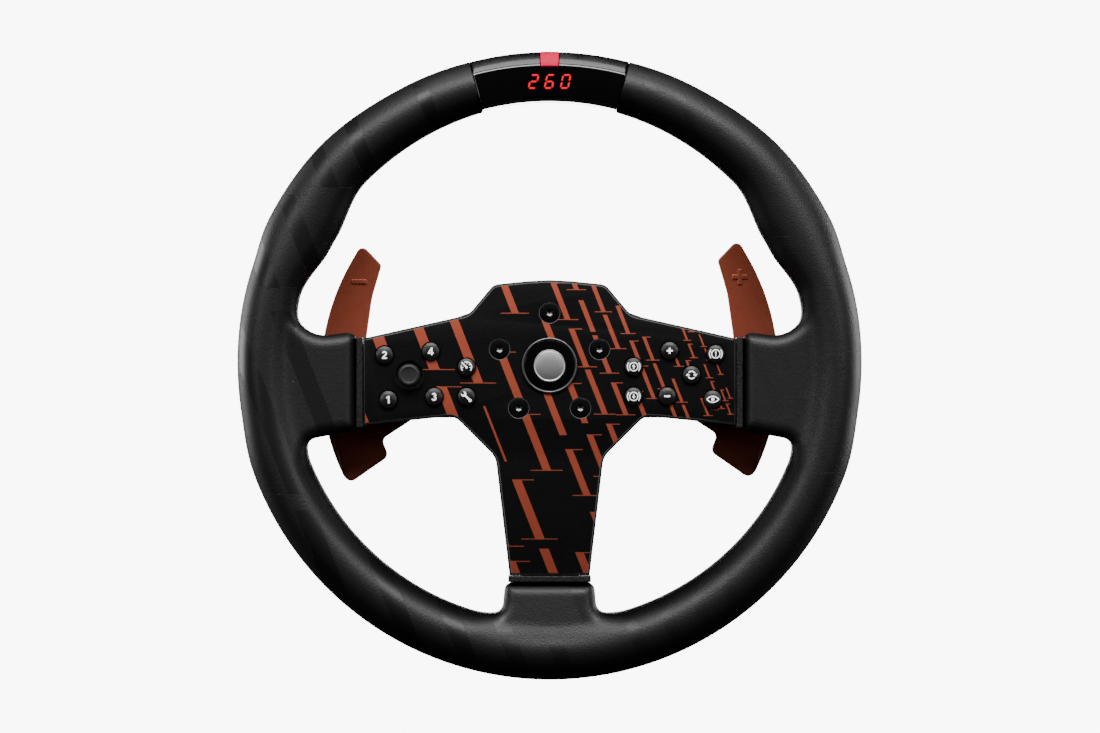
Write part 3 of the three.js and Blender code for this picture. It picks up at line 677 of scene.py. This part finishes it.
def outline_distance(points, x, z):
    """Distance from each (x, z) to a closed outline, negative inside."""
    nearest = np.full(x.shape, np.inf)
    inside = np.zeros(x.shape, bool)
    for (ax, az), (bx, bz) in zip(points, points[1:] + points[:1]):
        ex, ez = bx - ax, bz - az
        t = np.clip(((x - ax) * ex + (z - az) * ez) / (ex * ex + ez * ez), 0, 1)
        np.minimum(nearest, np.hypot(x - ax - t * ex, z - az - t * ez), out=nearest)
        if az != bz:
            crosses = (az > z) != (bz > z)
            inside ^= crosses & (x < ax + ex * (z - az) / ez)
    return np.where(inside, -nearest, nearest)


def sleeve_distance(outline, x, y, z):
    """Distance to a sleeve: an outline thickened along Y, with rounded edges."""
    across = outline_distance(outline, x, z) + SLEEVE_EDGE
    half = (SLEEVE_BACK - SLEEVE_FRONT) / 2 - SLEEVE_EDGE
    along = np.abs(y - (SLEEVE_BACK + SLEEVE_FRONT) / 2) - half
    outside = np.hypot(np.maximum(across, 0), np.maximum(along, 0))
    return outside + np.minimum(np.maximum(across, along), 0) - SLEEVE_EDGE


def rim_distance(x, y, z):
    """Distance to the rim, whose oval section widens and narrows round the wheel."""
    from_top = np.degrees(np.arctan2(np.abs(x), z))
    inner, outer = eased(GRIP_INNER, from_top), eased(GRIP_OUTER, from_top)
    wide, deep = (outer - inner) / 2, GRIP_HALF_DEPTH
    r = np.hypot(x, z) - (inner + outer) / 2
    y = y - GRIP_MIDDLE
    k0 = np.sqrt((r / wide) ** 2 + (y / deep) ** 2)
    k1 = np.sqrt((r / wide**2) ** 2 + (y / deep**2) ** 2)
    return k0 * (k0 - 1) / np.maximum(k1, 1e-6)


def smooth_union(a, b, width):
    """The union of two distances, with a fillet about as wide as width."""
    h = np.maximum(width - np.abs(a - b), 0) / width
    return np.minimum(a, b) - h * h * width / 4


def grip_distance(x, y, z):
    """Distance to the rim with its three sleeves."""
    foot_y = y - FOOT_SLOPE * (z - FOOT_MIDDLE)
    sides = sleeve_distance(SIDE_SLEEVE, np.abs(x), y, z)
    foot = sleeve_distance(FOOT_SLEEVE, x, foot_y, z)
    return smooth_union(rim_distance(x, y, z), np.minimum(sides, foot), SLEEVE_FILLET)


def surface_net(distance, low, high, cell):
    """Vertices and quads of the surface where distance is zero, about a cell apart."""
    counts = [int(math.ceil((b - a) / cell)) + 1 for a, b in zip(low, high)]
    axes = [a + cell * np.arange(n) for a, n in zip(low, counts)]
    inside = distance(*np.meshgrid(*axes, indexing="ij")) < 0
    corners = [
        inside[i : counts[0] - 1 + i, j : counts[1] - 1 + j, k : counts[2] - 1 + k]
        for i in (0, 1)
        for j in (0, 1)
        for k in (0, 1)
    ]
    crossed = np.any(corners, 0) & ~np.all(corners, 0)
    index = np.full(crossed.shape, -1)
    index[crossed] = np.arange(crossed.sum())
    points = np.array(low) + cell * (np.argwhere(crossed) + 0.5)
    quads = []
    for axis in range(3):
        first = np.moveaxis(inside, axis, 0)
        cells = np.moveaxis(index, axis, 0)
        changes = first[1:, 1:-1, 1:-1] != first[:-1, 1:-1, 1:-1]
        outward = first[:-1, 1:-1, 1:-1][changes]
        ring = [cells[:, :-1, :-1], cells[:, 1:, :-1], cells[:, 1:, 1:], cells[:, :-1, 1:]]
        loops = np.stack([r[changes] for r in ring], 1)
        flip = outward if axis != 1 else ~outward
        loops[~flip] = loops[~flip][:, ::-1]
        quads.append(loops)
    return settle(distance, points), np.concatenate(quads)


def settle(distance, points):
    """Moves points onto the surface where distance is zero."""
    step = 0.05
    for _ in range(4):
        value = distance(*points.T)
        slope = np.stack([
            (distance(*(points + offset).T) - distance(*(points - offset).T)) / (2 * step)
            for offset in np.eye(3) * step
        ], 1)
        points = points - slope * (value / np.maximum((slope**2).sum(1), 0.1))[:, None]
    return points


def cut_display_gap(bm):
    """Cuts the grip away beside the display and closes its two ends."""
    near_top = 90
    for side in (-1, 1):
        angle = math.radians(GRIP_END) * side
        normal = Vector((math.cos(angle), 0, -math.sin(angle))) * side
        top = [v for v in bm.verts if v.co.z > near_top and v.co.x * side > 5]
        geometry = {item for v in top for item in (v, *v.link_edges, *v.link_faces)}
        bmesh.ops.bisect_plane(bm, geom=list(geometry), plane_co=(0, 0, 0), plane_no=normal)
    slope = math.tan(math.radians(GRIP_END))
    gone = [v for v in bm.verts if v.co.z > near_top and abs(v.co.x) < slope * v.co.z - 0.001]
    bmesh.ops.delete(bm, geom=gone, context="VERTS")
    rim = [e for e in bm.edges if e.is_boundary]
    ends = bmesh.ops.holes_fill(bm, edges=rim)["faces"]
    outer = [e for face in ends for e in face.edges]
    bmesh.ops.bevel(bm, geom=outer, offset=0.5, segments=3, profile=0.5, affect="EDGES")


def make_grip():
    points, quads = surface_net(grip_distance, *GRIP_SPACE, GRIP_CELL)
    mesh = bpy.data.meshes.new("grip")
    mesh.from_pydata(points.tolist(), [], quads.tolist())
    bm = bmesh.new()
    bm.from_mesh(mesh)
    bpy.data.meshes.remove(mesh)
    cut_display_gap(bm)
    new_piece("grip", bm, "grip", replaces=["rim_grip"], sharp=50)


# ---------------------------------------------------------------- display
DISPLAY_HALF, MARKER_HALF = 14.7, 1.7  # degrees each side of the top
DISPLAY_INNER, DISPLAY_OUTER = 125.6, 149.3
SPLIT = -62.3  # where the cover meets the housing
SHELL = 2.0  # thickness of the cover


def sector(profile, half_angle, bevel, steps=48):
    """A bmesh of a profile turned by an angle in degrees to each side of the top."""
    bm = turned(profile, steps=steps, sweep=2 * half_angle, start=-half_angle)
    bevel_sharp(bm, bevel)
    return bm


def make_display_cover():
    """The glossy window, with a notch for the marker."""
    outer = [
        (DISPLAY_OUTER, SPLIT), (DISPLAY_OUTER, -70.2, 2.5), (143, -77.2, 2.5), (134.5, -77.3, 30),
        (127.4, -76.2, 2), (DISPLAY_INNER, -73.5, 2), (DISPLAY_INNER, SPLIT),
    ]
    inner = [
        (DISPLAY_INNER + SHELL, SPLIT), (DISPLAY_INNER + SHELL, -74), (141, -75),
        (DISPLAY_OUTER - SHELL, -69), (DISPLAY_OUTER - SHELL, SPLIT),
    ]
    shell = sector(rounded([*outer, *inner], step=6), DISPLAY_HALF, 0.5)
    cover = new_piece(
        "display_window", shell, "gloss", replaces=["display_cover"], sharp=40
    )
    notch = [(141.8, -80), (155, -80), (155, -66.5), (141.8, -66.5)]
    carve(cover, sector(notch, MARKER_HALF + 0.15, 0.05, 8))


def make_display_housing():
    front = SPLIT + 0.3
    profile = rounded([
        (DISPLAY_INNER, front), (DISPLAY_OUTER, front), (DISPLAY_OUTER, -53, 4), (144.5, -46.6, 6),
        (130.4, -46.6, 6), (DISPLAY_INNER, -53, 4),
    ], step=8)
    new_piece(
        "display_back", sector(profile, GRIP_END, 0.4), "gloss",
        replaces=["display_housing"], sharp=40,
    )


def make_marker():
    lens = rounded([
        (142.1, -66.8), (142.1, -77.2, 0.4), (145, -76.4, 3), (148, -73.4, 4), (149.5, -69, 2),
        (149.5, -66.8),
    ], step=15)
    new_piece(
        "marker", sector(lens, MARKER_HALF, 0.12, 8), "marker",
        replaces=["rev_marker_lens"], sharp=40,
    )


# Which of the seven segments each digit lights: top, upper left, upper right, middle, lower left,
# lower right, bottom.
SEGMENTS = {"2": "1011101", "6": "1101111", "0": "1110111"}
DIGIT = {"width": 3.5, "height": 6.2, "stroke": 0.95, "pitch": 7.6, "lean": 0.2, "z": 134.8}


def segment(x0, z0, x1, z1):
    """A pointed bar from one corner of a digit to another."""
    along = Vector((x1 - x0, z1 - z0)).normalized()
    side = Vector((-along.y, along.x)) * DIGIT["stroke"] / 2
    tip = along * DIGIT["stroke"] / 2
    gap = along * 0.18
    a, b = Vector((x0, z0)) + gap, Vector((x1, z1)) - gap
    return [tuple(p) for p in (a, a + tip - side, b - tip - side, b, b - tip + side, a + tip + side)]


def make_digits():
    front = depth_of("display_cover")[0] - 0.02
    w, h = DIGIT["width"] / 2, DIGIT["height"] / 2
    ends = [
        (-w, h, w, h), (-w, 0, -w, h), (w, 0, w, h), (-w, 0, w, 0), (-w, -h, -w, 0), (w, -h, w, 0),
        (-w, -h, w, -h),
    ]
    bm = bmesh.new()
    for place, digit in enumerate("260"):
        centre = (place - 1) * DIGIT["pitch"]
        for corners, lit in zip(ends, SEGMENTS[digit]):
            if lit == "1":
                leaning = [(x + DIGIT["lean"] * z, z) for x, z in segment(*corners)]
                bar = moved(leaning, centre, DIGIT["z"])
                merge_into(bm, plate(bar, front, front + 0.4, 0.03))
    new_piece("display_digits", bm, "digit")


# ---------------------------------------------------------------- button panel
PANEL_HALF = [
    (19.1, -99.8), (25.7, -43.6, 10), (45.3, -24, 8), (88.6, -28.4), (88.6, 12.9), (38.6, 24.15, 9),
    (26.6, 38.5, 6),
]
PANEL_TOP = (0, 41.2, 100)
PLATE_FRONT, PLATE_BACK = -72.0, -70.0
DRILL_FRONT, DRILL_BACK = -75, -68
BUTTON_HOLE, STICK_HOLE, BOLT_HOLE, BADGE_HOLE = 4.7, 7.0, 4.85, 11.6
BUTTONS = [n for n in frame["nodes"] if n.startswith("button_") and n != "button_housing"]
BOLTS = [f"face_bolt_{k}" for k in range(1, 6)]


def make_panel():
    """The printed face on its black base plate, whose edge shows round it."""
    outline = rounded(mirrored(PANEL_HALF, [PANEL_TOP]), step=6)
    face = plate(outline, PLATE_FRONT, PLATE_FRONT + 1.1, 0.5, inset=0.8)
    base = plate(outline, PLATE_FRONT + 0.5, PLATE_BACK, 0.4)
    for name, bm, look in (("panel_face", face, "panel"), ("panel_base", base, "plastic")):
        piece = new_piece(name, bm, look, replaces=["faceplate"], sharp=25)
        carve(piece, panel_drills())


def panel_drills():
    """Cutters for the plate's holes: straight ones for the controls, sunk ones for the bolts."""
    holes = [(node, BUTTON_HOLE) for node in BUTTONS]
    holes += [("joystick_module", STICK_HOLE), ("badge_ring", BADGE_HOLE)]
    wide = BOLT_HOLE + 1
    sunk = [
        (0, DRILL_FRONT), (wide, DRILL_FRONT), (wide, -72.45), (BOLT_HOLE, -71.87),
        (BOLT_HOLE, DRILL_BACK), (0, DRILL_BACK),
    ]
    drills = bmesh.new()
    for node, radius in holes:
        place = middle(node)
        hole = circle(place.x, place.z, radius)
        merge_into(drills, plate(hole, DRILL_FRONT, DRILL_BACK, 0.0))
    for node in BOLTS:
        place = middle(node)
        merge_into(drills, turned(sunk, place.x, place.z, 48))
    return drills


def make_badge():
    """A bright rim round a black band, and a plain turned dome in the middle."""
    rim = rounded([
        (9.6, -70.1), (9.6, -71.6), (12.1, -71.9), (12.3, -73.3, 0.3), (13.2, -73.3, 0.4),
        (13.2, -72.3), (11.1, -72.3), (11.1, -70.1),
    ], step=15)
    black_band = rounded([
        (7.6, -71.7), (7.6, -73.2, 0.2), (12, -72.7, 0.2), (12, -71.95), (9.6, -71.7),
    ], step=20)
    dome = rounded([
        (0, -73.9), (5, -73.75, 20), (6.6, -73.4, 0.3), (6.9, -73.1, 0.2), (7.5, -73.4, 0.2),
        (7.5, -71.8), (0, -71.8),
    ], step=10)
    for name, profile, look, node in (
        ("badge_rim", rim, "rim", "badge_ring"),
        ("badge_band", black_band, "gloss", "badge_insert"),
        ("badge_dome", dome, "satin", "badge_insert"),
    ):
        new_piece(name, turned(profile, steps=96), look, replaces=[node], sharp=30)


def make_bolt(node):
    """A countersunk bolt and the bright floor of its hexagon socket."""
    place = middle(node)
    head, shaft = 4.75, 2.5
    profile = rounded([
        (0, -71.9), (4.5, -71.9, 0.1), (head, -71.65), (head, -71.35), (shaft, -69.5), (shaft, -51),
        (0, -51),
    ], step=20)
    bolt = new_piece(
        node + "_turned", turned(profile, place.x, place.z, 48), "black_metal",
        replaces=[node], sharp=25,
    )
    hexagon = circle(place.x, place.z, 1.75, 6)
    carve(bolt, plate(hexagon, -74, -69.8, 0.0))
    cone = [(0, -69.9), (1.6, -70.6), (1.6, -69.7), (0, -69.7)]
    new_piece(node + "_socket", turned(cone, place.x, place.z, 6), "socket", sharp=10)


# ---------------------------------------------------------------- buttons and their symbols
CAP_RADIUS, FLANGE_RADIUS, STEM_RADIUS = 4.2, 5.2, 1.6
CROWN_SPHERE, CROWN_REACH = 9.5, 3.75
BOLD = 0.68  # width of a digit's strokes


def crown(front):
    """The dome of a button's cap, from its middle outwards."""
    top = front + CROWN_SPHERE
    reach = [float(r) for r in np.linspace(0, CROWN_REACH, 9)]
    return [(r, top - math.sqrt(CROWN_SPHERE**2 - r**2)) for r in reach]


def make_button(node):
    """A domed cap on its flange and stem, and the symbol in the cap's skin, whose glow is painted light.
    """
    place = middle(node)
    front, back = depth_of(node)
    dome = crown(front)
    sides = rounded([
        dome[-1], (CAP_RADIUS, dome[-1][1] + 0.12, 0.4), (CAP_RADIUS, back - 2.8),
        (FLANGE_RADIUS, back - 2.8), (FLANGE_RADIUS, back - 1.8), (STEM_RADIUS, back - 1.8),
        (STEM_RADIUS, back), (0, back),
    ], closed=False, step=20)
    cap = turned([*dome[:-1], *sides], place.x, place.z, 48)
    new_piece(node + "_cap", cap, "button", node + "_body", [node], 40)
    prism = symbol_prism(node, place, front)
    symbol = new_piece(node + "_symbol", prism, "symbol", node + "_body")
    skin = [*crown(front - 0.04), *reversed(crown(front + 0.12))]
    carve(symbol, turned(skin, place.x, place.z, 48), "INTERSECT")


def symbol_prism(node, place, front):
    """The button's symbol as prisms along Y through the cap's crown."""
    bm = bmesh.new()
    for outline, *holes in SYMBOLS[node]():
        loop, *loops = [moved(points, place.x, place.z) for points in (outline, *holes)]
        merge_into(bm, plate(loop, front - 1, front + 1.6, 0.0, holes=loops))
    return bm


# Each symbol is a list of shapes, and each shape is its outline followed by its holes.
def one():
    return [[[(-0.1, -1.8), (0.6, -1.8), (0.6, 1.8), (0.1, 1.8), (-0.9, 1.2), (-0.9, 0.5), (-0.1, 0.9)]]]


def two():
    bowl = moved(band(0.8, BOLD, -38, 170), 0, 0.72)
    return [[bowl], [stroke(0.66, 0.28, -0.85, -1.45, BOLD)], [box_shape(0, -1.5, 2.4, BOLD)]]


def three():
    upper = moved(band(0.72, BOLD, -95, 165), -0.05, 0.82)
    lower = moved(band(0.85, BOLD, -165, 95), -0.05, -0.72)
    return [[upper], [lower]]


def four():
    stem, bar = box_shape(0.5, 0, BOLD, 3.6), box_shape(0, -0.8, 2.7, BOLD)
    return [[stem], [bar], [stroke(-1.05, -0.8, 0.42, 1.55, BOLD)]]


def plus():
    return [[cross(1.4, 0.4)]]


def minus():
    return [[box_shape(0, 0, 2.8, 0.8)]]


def bracketed(inside):
    """A ring between two brackets, round a mark."""
    ring = [circle(0, 0, 2.2, 32), circle(0, 0, 1.75, 32)]
    return [ring, [band(3.0, 0.45, -42, 42)], [band(3.0, 0.45, 138, 222)], *inside]


def arrow(up):
    side = 1 if up else -1
    shape = [
        (-0.28, -1.1), (0.28, -1.1), (0.28, 0.05), (0.85, 0.05), (0, 1.15), (-0.85, 0.05),
        (-0.28, 0.05),
    ]
    return [[[(x * side, z * side) for x, z in shape]]]


def alert():
    bar = [(-0.2, -0.3), (0.2, -0.3), (0.32, 1.15), (-0.32, 1.15)]
    return bracketed([[bar], [circle(0, -0.9, 0.32, 12)]])


def gauge():
    """A dial crossed out by a slanted stroke that ends at its hub."""
    ticks = [spun(box_shape(1.85, 0, 0.7, 0.36), turn) for turn in (-5, 40, 85, 185)]
    arcs = [band(2.5, 0.42, -42, 112), band(2.5, 0.42, 158, 222)]
    hand, hub = stroke(-2.3, 2.3, 0, 0, 0.55), circle(0, -0.1, 0.55, 16)
    return [[loop] for loop in (*arcs, *ticks, hand, hub)]


def wrench():
    """An open-ended wrench, leaning left, with a ring at its lower end."""
    half = [(0.42, -2.3), (0.42, 0.75), (1.1, 1.25), (1.25, 2.1), (0.75, 2.95), (0.6, 1.95)]
    shape = mirrored(half, [(0, 1.6)])
    ring, hole = circle(0, -2.4, 0.75, 20), circle(0, -2.4, 0.28, 12)
    return [[spun(shape, 45)], [spun(ring, 45), spun(hole, 45)]]


def cycle():
    """Two curved arrows that follow each other."""
    head = [(2.8, 0), (0.7, 0), (1.75, -1.1)]
    shapes = []
    for turn in (0, 180):
        shapes += [[band(1.75, 0.6, turn + 25, turn + 140)], [spun(head, turn + 10)]]
    return shapes


def eye():
    lids = arc(0, -2.1, 3.75, 35, 145) + arc(0, 2.1, 3.75, 215, 325)
    inner = arc(0, -1.95, 3.15, 40, 140) + arc(0, 1.95, 3.15, 220, 320)
    return [[lids, inner], [circle(0, 0, 0.8, 20)]]


SYMBOLS = {
    "button_1": one,
    "button_2": two,
    "button_3": three,
    "button_4": four,
    "button_plus": plus,
    "button_minus": minus,
    "button_brake_up": lambda: bracketed(arrow(True)),
    "button_brake_down": lambda: bracketed(arrow(False)),
    "button_alert": alert,
    "button_gauge": gauge,
    "button_wrench": wrench,
    "button_cycle": cycle,
    "button_eye": eye,
}


def make_stick():
    """The joystick's cap, with a raised rim and a dished top."""
    place = middle("joystick_cap")
    front, back = depth_of("joystick_cap")
    profile = rounded([
        (0, front + 0.35), (3.4, front + 0.3, 2), (3.9, front, 0.3), (4.9, front + 0.3, 1),
        (5.4, front + 1.3, 0.6), (5.4, back, 0.3), (1.9, back), (1.9, back - 4), (0, back - 4),
    ], step=15)
    cap = turned(profile, place.x, place.z, 64)
    new_piece("stick_cap", cap, "stick", "joystick_cap_body", ["joystick_cap"])


# ---------------------------------------------------------------- paddles
BLADE_CENTRE = -4  # height of the middle of the blade's outer arc
BLADE = [
    (37, -5), (44, -5), (44, -9.8), (54, -9.8, 4), (67, -25.7, 2), (80.4, -34.4, 3),
    (77.2, -42.6, 3.5), (97.6, -56.8, 3.5), *arc(0, BLADE_CENTRE, 109.9, -26.5, 31, 30),
    (90.3, 59.4, 3), (80.6, 49.2, 2), (85.2, 33.5, 40), (88.2, 12), (54, 9.8, 4), (44, 9.8),
    (44, 5), (37, 5),
]
BLADE_FRONT, BLADE_BACK = -46, -43
DISH_DEPTH, DISH_RADIUS, DISH_HALF_WIDTH = 0.9, 97, 14
DISH_START, DISH_RAMP = 60, 15  # how far out the dish begins, and then grows to its depth
PADDLE_LIFT = -1.35  # from the middle of a paddle's box to the height its outline is drawn about


def make_paddle(side, sign):
    """A blade with its arm, its hinge knuckle and the raised mark near its tip."""
    node = side + "_paddle"
    height = middle(node).z + PADDLE_LIFT
    for name, bm, replaces, sharp in (
        ("_blade", blade(), [node], 30),
        ("_knuckle", knuckle(), [], 35),
        ("_mark", paddle_mark(side), [], 35),
    ):
        for v in bm.verts:
            v.co.x *= sign
            v.co.z += height
        new_piece(side + name, bm, "paddle", node + "_body", replaces, sharp)


def blade():
    """The right paddle's plate, dished a little so that fingertips find its middle."""
    bm = plate(rounded(BLADE, step=8), BLADE_FRONT, BLADE_BACK, 0.7)
    for x in np.arange(DISH_START, 110, 3.0):
        slice_mesh(bm, (x, 0, 0), (1, 0, 0))
    for z in np.arange(-57, 60, 3.0):
        slice_mesh(bm, (0, 0, z), (0, 0, 1))
    for v in bm.verts:
        from_middle = math.hypot(v.co.x, v.co.z - BLADE_CENTRE) - DISH_RADIUS
        hollow = max(0, 1 - (from_middle / DISH_HALF_WIDTH) ** 2)
        if v.co.x > DISH_START:
            v.co.y += DISH_DEPTH * hollow * min(1, (v.co.x - DISH_START) / DISH_RAMP)
    return bm


def knuckle():
    """The sleeve round the right paddle's hinge pin."""
    bm = turned(rounded([(1.8, -9.6), (3.2, -9.6, 0.4), (3.2, 9.6, 0.4), (1.8, 9.6)]), steps=32)
    upright = Matrix.Translation((48, -48.4, 0)) @ Matrix.Rotation(math.pi / 2, 4, "X")
    bmesh.ops.transform(bm, matrix=upright, verts=bm.verts)
    return bm


def paddle_mark(side):
    """The raised minus or plus near the blade's tip."""
    reach, half = 3.7, 1.0
    shape = box_shape(0, 0, 2 * reach, 2 * half) if side == "left" else cross(reach, half)
    corners = [(x, z, 0.3) for x, z in moved(shape, 91.3, 41.3)]
    return plate(rounded(corners), BLADE_FRONT, -44.6)


def slice_mesh(bm, point, normal):
    everything = [*bm.verts, *bm.edges, *bm.faces]
    bmesh.ops.bisect_plane(bm, geom=everything, plane_co=point, plane_no=normal)


# ---------------------------------------------------------------- back
COLLAR_INNER, COLLAR_OUTER = 26.4, 30
RIB_PITCH, GROOVE_DEPTH = 2.2, 0.7


def make_hub():
    profile = rounded([
        (6, -55.7), (31, -55.7, 0.4), (31, -49.7, 0.8), (26, -49.7, 0.6), (26, -4), (25.4, -3),
        (25.4, -1, 0.5), (24, 0, 0.3), (16, 0, 0.3), (15, -1, 0.3), (15, -30), (6, -30),
    ], step=15)
    new_piece(
        "hub", turned(profile, steps=96), "aluminium",
        replaces=["quick_release_hub"], sharp=30,
    )


def make_collar():
    """The sleeve that is pulled to unlock, with grip grooves round it."""
    front, back = depth_of("quick_release_collar")
    groove = [(0, 0), (-GROOVE_DEPTH, 0.5), (-GROOVE_DEPTH, 1.1), (0, 1.6)]
    grooves = [
        (COLLAR_OUTER + deeper, float(y) + along, 0.2)
        for y in np.arange(front + 4.5, back - 4.5, RIB_PITCH)
        for deeper, along in groove
    ]
    profile = rounded([
        (COLLAR_INNER, front, 0.3), (29, front, 0.6), (COLLAR_OUTER, front + 1.2, 0.5), *grooves,
        (COLLAR_OUTER, back - 1.2, 0.5), (29, back, 0.6), (COLLAR_INNER, back, 0.3),
    ], step=30)
    new_piece(
        "release_collar", turned(profile, steps=96), "black_metal", "quick_release_collar_body",
        ["quick_release_collar"], 30,
    )


# ---------------------------------------------------------------- camera, light and floor
SEEN_WIDTH = 0.525  # metres across the picture, in the plane of the rim
CAMERA_DISTANCE = 3.0
CAMERA_X, CAMERA_Z = 0.0002, -0.0005


def aim(thing, target):
    thing.rotation_euler = (Vector(target) - thing.location).to_track_quat("-Z", "Y").to_euler()


def add_camera():
    data = bpy.data.cameras.new("camera")
    data.sensor_width = 36
    data.lens = data.sensor_width * CAMERA_DISTANCE / SEEN_WIDTH
    camera = bpy.data.objects.new("camera", data)
    camera.location = (CAMERA_X, GRIP_MIDDLE * MM - CAMERA_DISTANCE, CAMERA_Z)
    bpy.context.scene.collection.objects.link(camera)
    aim(camera, (CAMERA_X, 0, CAMERA_Z))
    bpy.context.scene.camera = camera


def add_light(name, place, size, energy):
    """A rectangular lamp aimed at the wheel, in metres and watts."""
    data = bpy.data.lights.new(name, "AREA")
    data.shape = "RECTANGLE"
    data.size, data.size_y = size
    data.energy = energy
    light = bpy.data.objects.new(name, data)
    light.location = place
    light.visible_camera = False
    bpy.context.scene.collection.objects.link(light)
    aim(light, (0, -0.06, 0))


def light_studio():
    add_light("top_box", (0, -1.5, 1.7), (3.0, 0.9), 108)
    add_light("overhead", (0, -0.1, 2.0), (1.8, 0.6), 14)
    add_light("back_box", (0, 1.9, 0.1), (1.2, 0.7), 30)
    for side, name in ((-1, "left"), (1, "right")):
        add_light(name + "_box", (1.5 * side, -1.6, 0.5), (0.5, 0.8), 7)
        add_light(name + "_edge", (1.5 * side, 0.8, 0.25), (0.9, 0.9), 17)


def add_floor():
    """A pale floor far below the wheel, that throws no light on it."""
    bm = bmesh.new()
    bmesh.ops.create_circle(bm, cap_ends=True, radius=6000, segments=96)
    bmesh.ops.translate(bm, vec=(0, 0, -600), verts=bm.verts)
    floor = bpy.data.objects.new("floor", finished_mesh("floor", bm))
    bpy.context.scene.collection.objects.link(floor)
    pale = Graph("pale_floor")
    pale.colour(pale.blend(pale.noise(900, 2), grey(0.8), grey(0.83)))
    floor.data.materials.append(pale.material)
    floor.visible_glossy = False
    floor.visible_diffuse = False


def add_world():
    """A white background that lights the wheel only faintly."""
    world = bpy.data.worlds.new("studio")
    bpy.context.scene.world = world
    world.use_nodes = True
    tree = world.node_tree
    background = tree.nodes["Background"]
    seen = tree.nodes.new("ShaderNodeLightPath").outputs["Is Camera Ray"]
    strength = tree.nodes.new("ShaderNodeMapRange")
    strength.inputs["To Min"].default_value = 0.015
    strength.inputs["To Max"].default_value = 9.0
    tree.links.new(seen, strength.inputs["Value"])
    tree.links.new(strength.outputs[0], background.inputs["Strength"])
    background.inputs["Color"].default_value = (1, 1, 1, 1)


# ---------------------------------------------------------------- the scene
add_camera()
light_studio()
add_floor()
add_world()
dress_cad_nodes()
make_grip()
make_display_cover()
make_display_housing()
make_marker()
make_digits()
make_panel()
make_badge()
for bolt in BOLTS:
    make_bolt(bolt)
for button in BUTTONS:
    make_button(button)
make_stick()
make_paddle("left", -1)
make_paddle("right", 1)
make_hub()
make_collar()
for trim in ("left_sleeve_trim", "right_sleeve_trim", "bottom_sleeve_trim"):
    soften(trim, 0.5, "trim")
soften("button_housing", 0.25, "plastic")
soften("rear_cover", 0.45, "plastic")
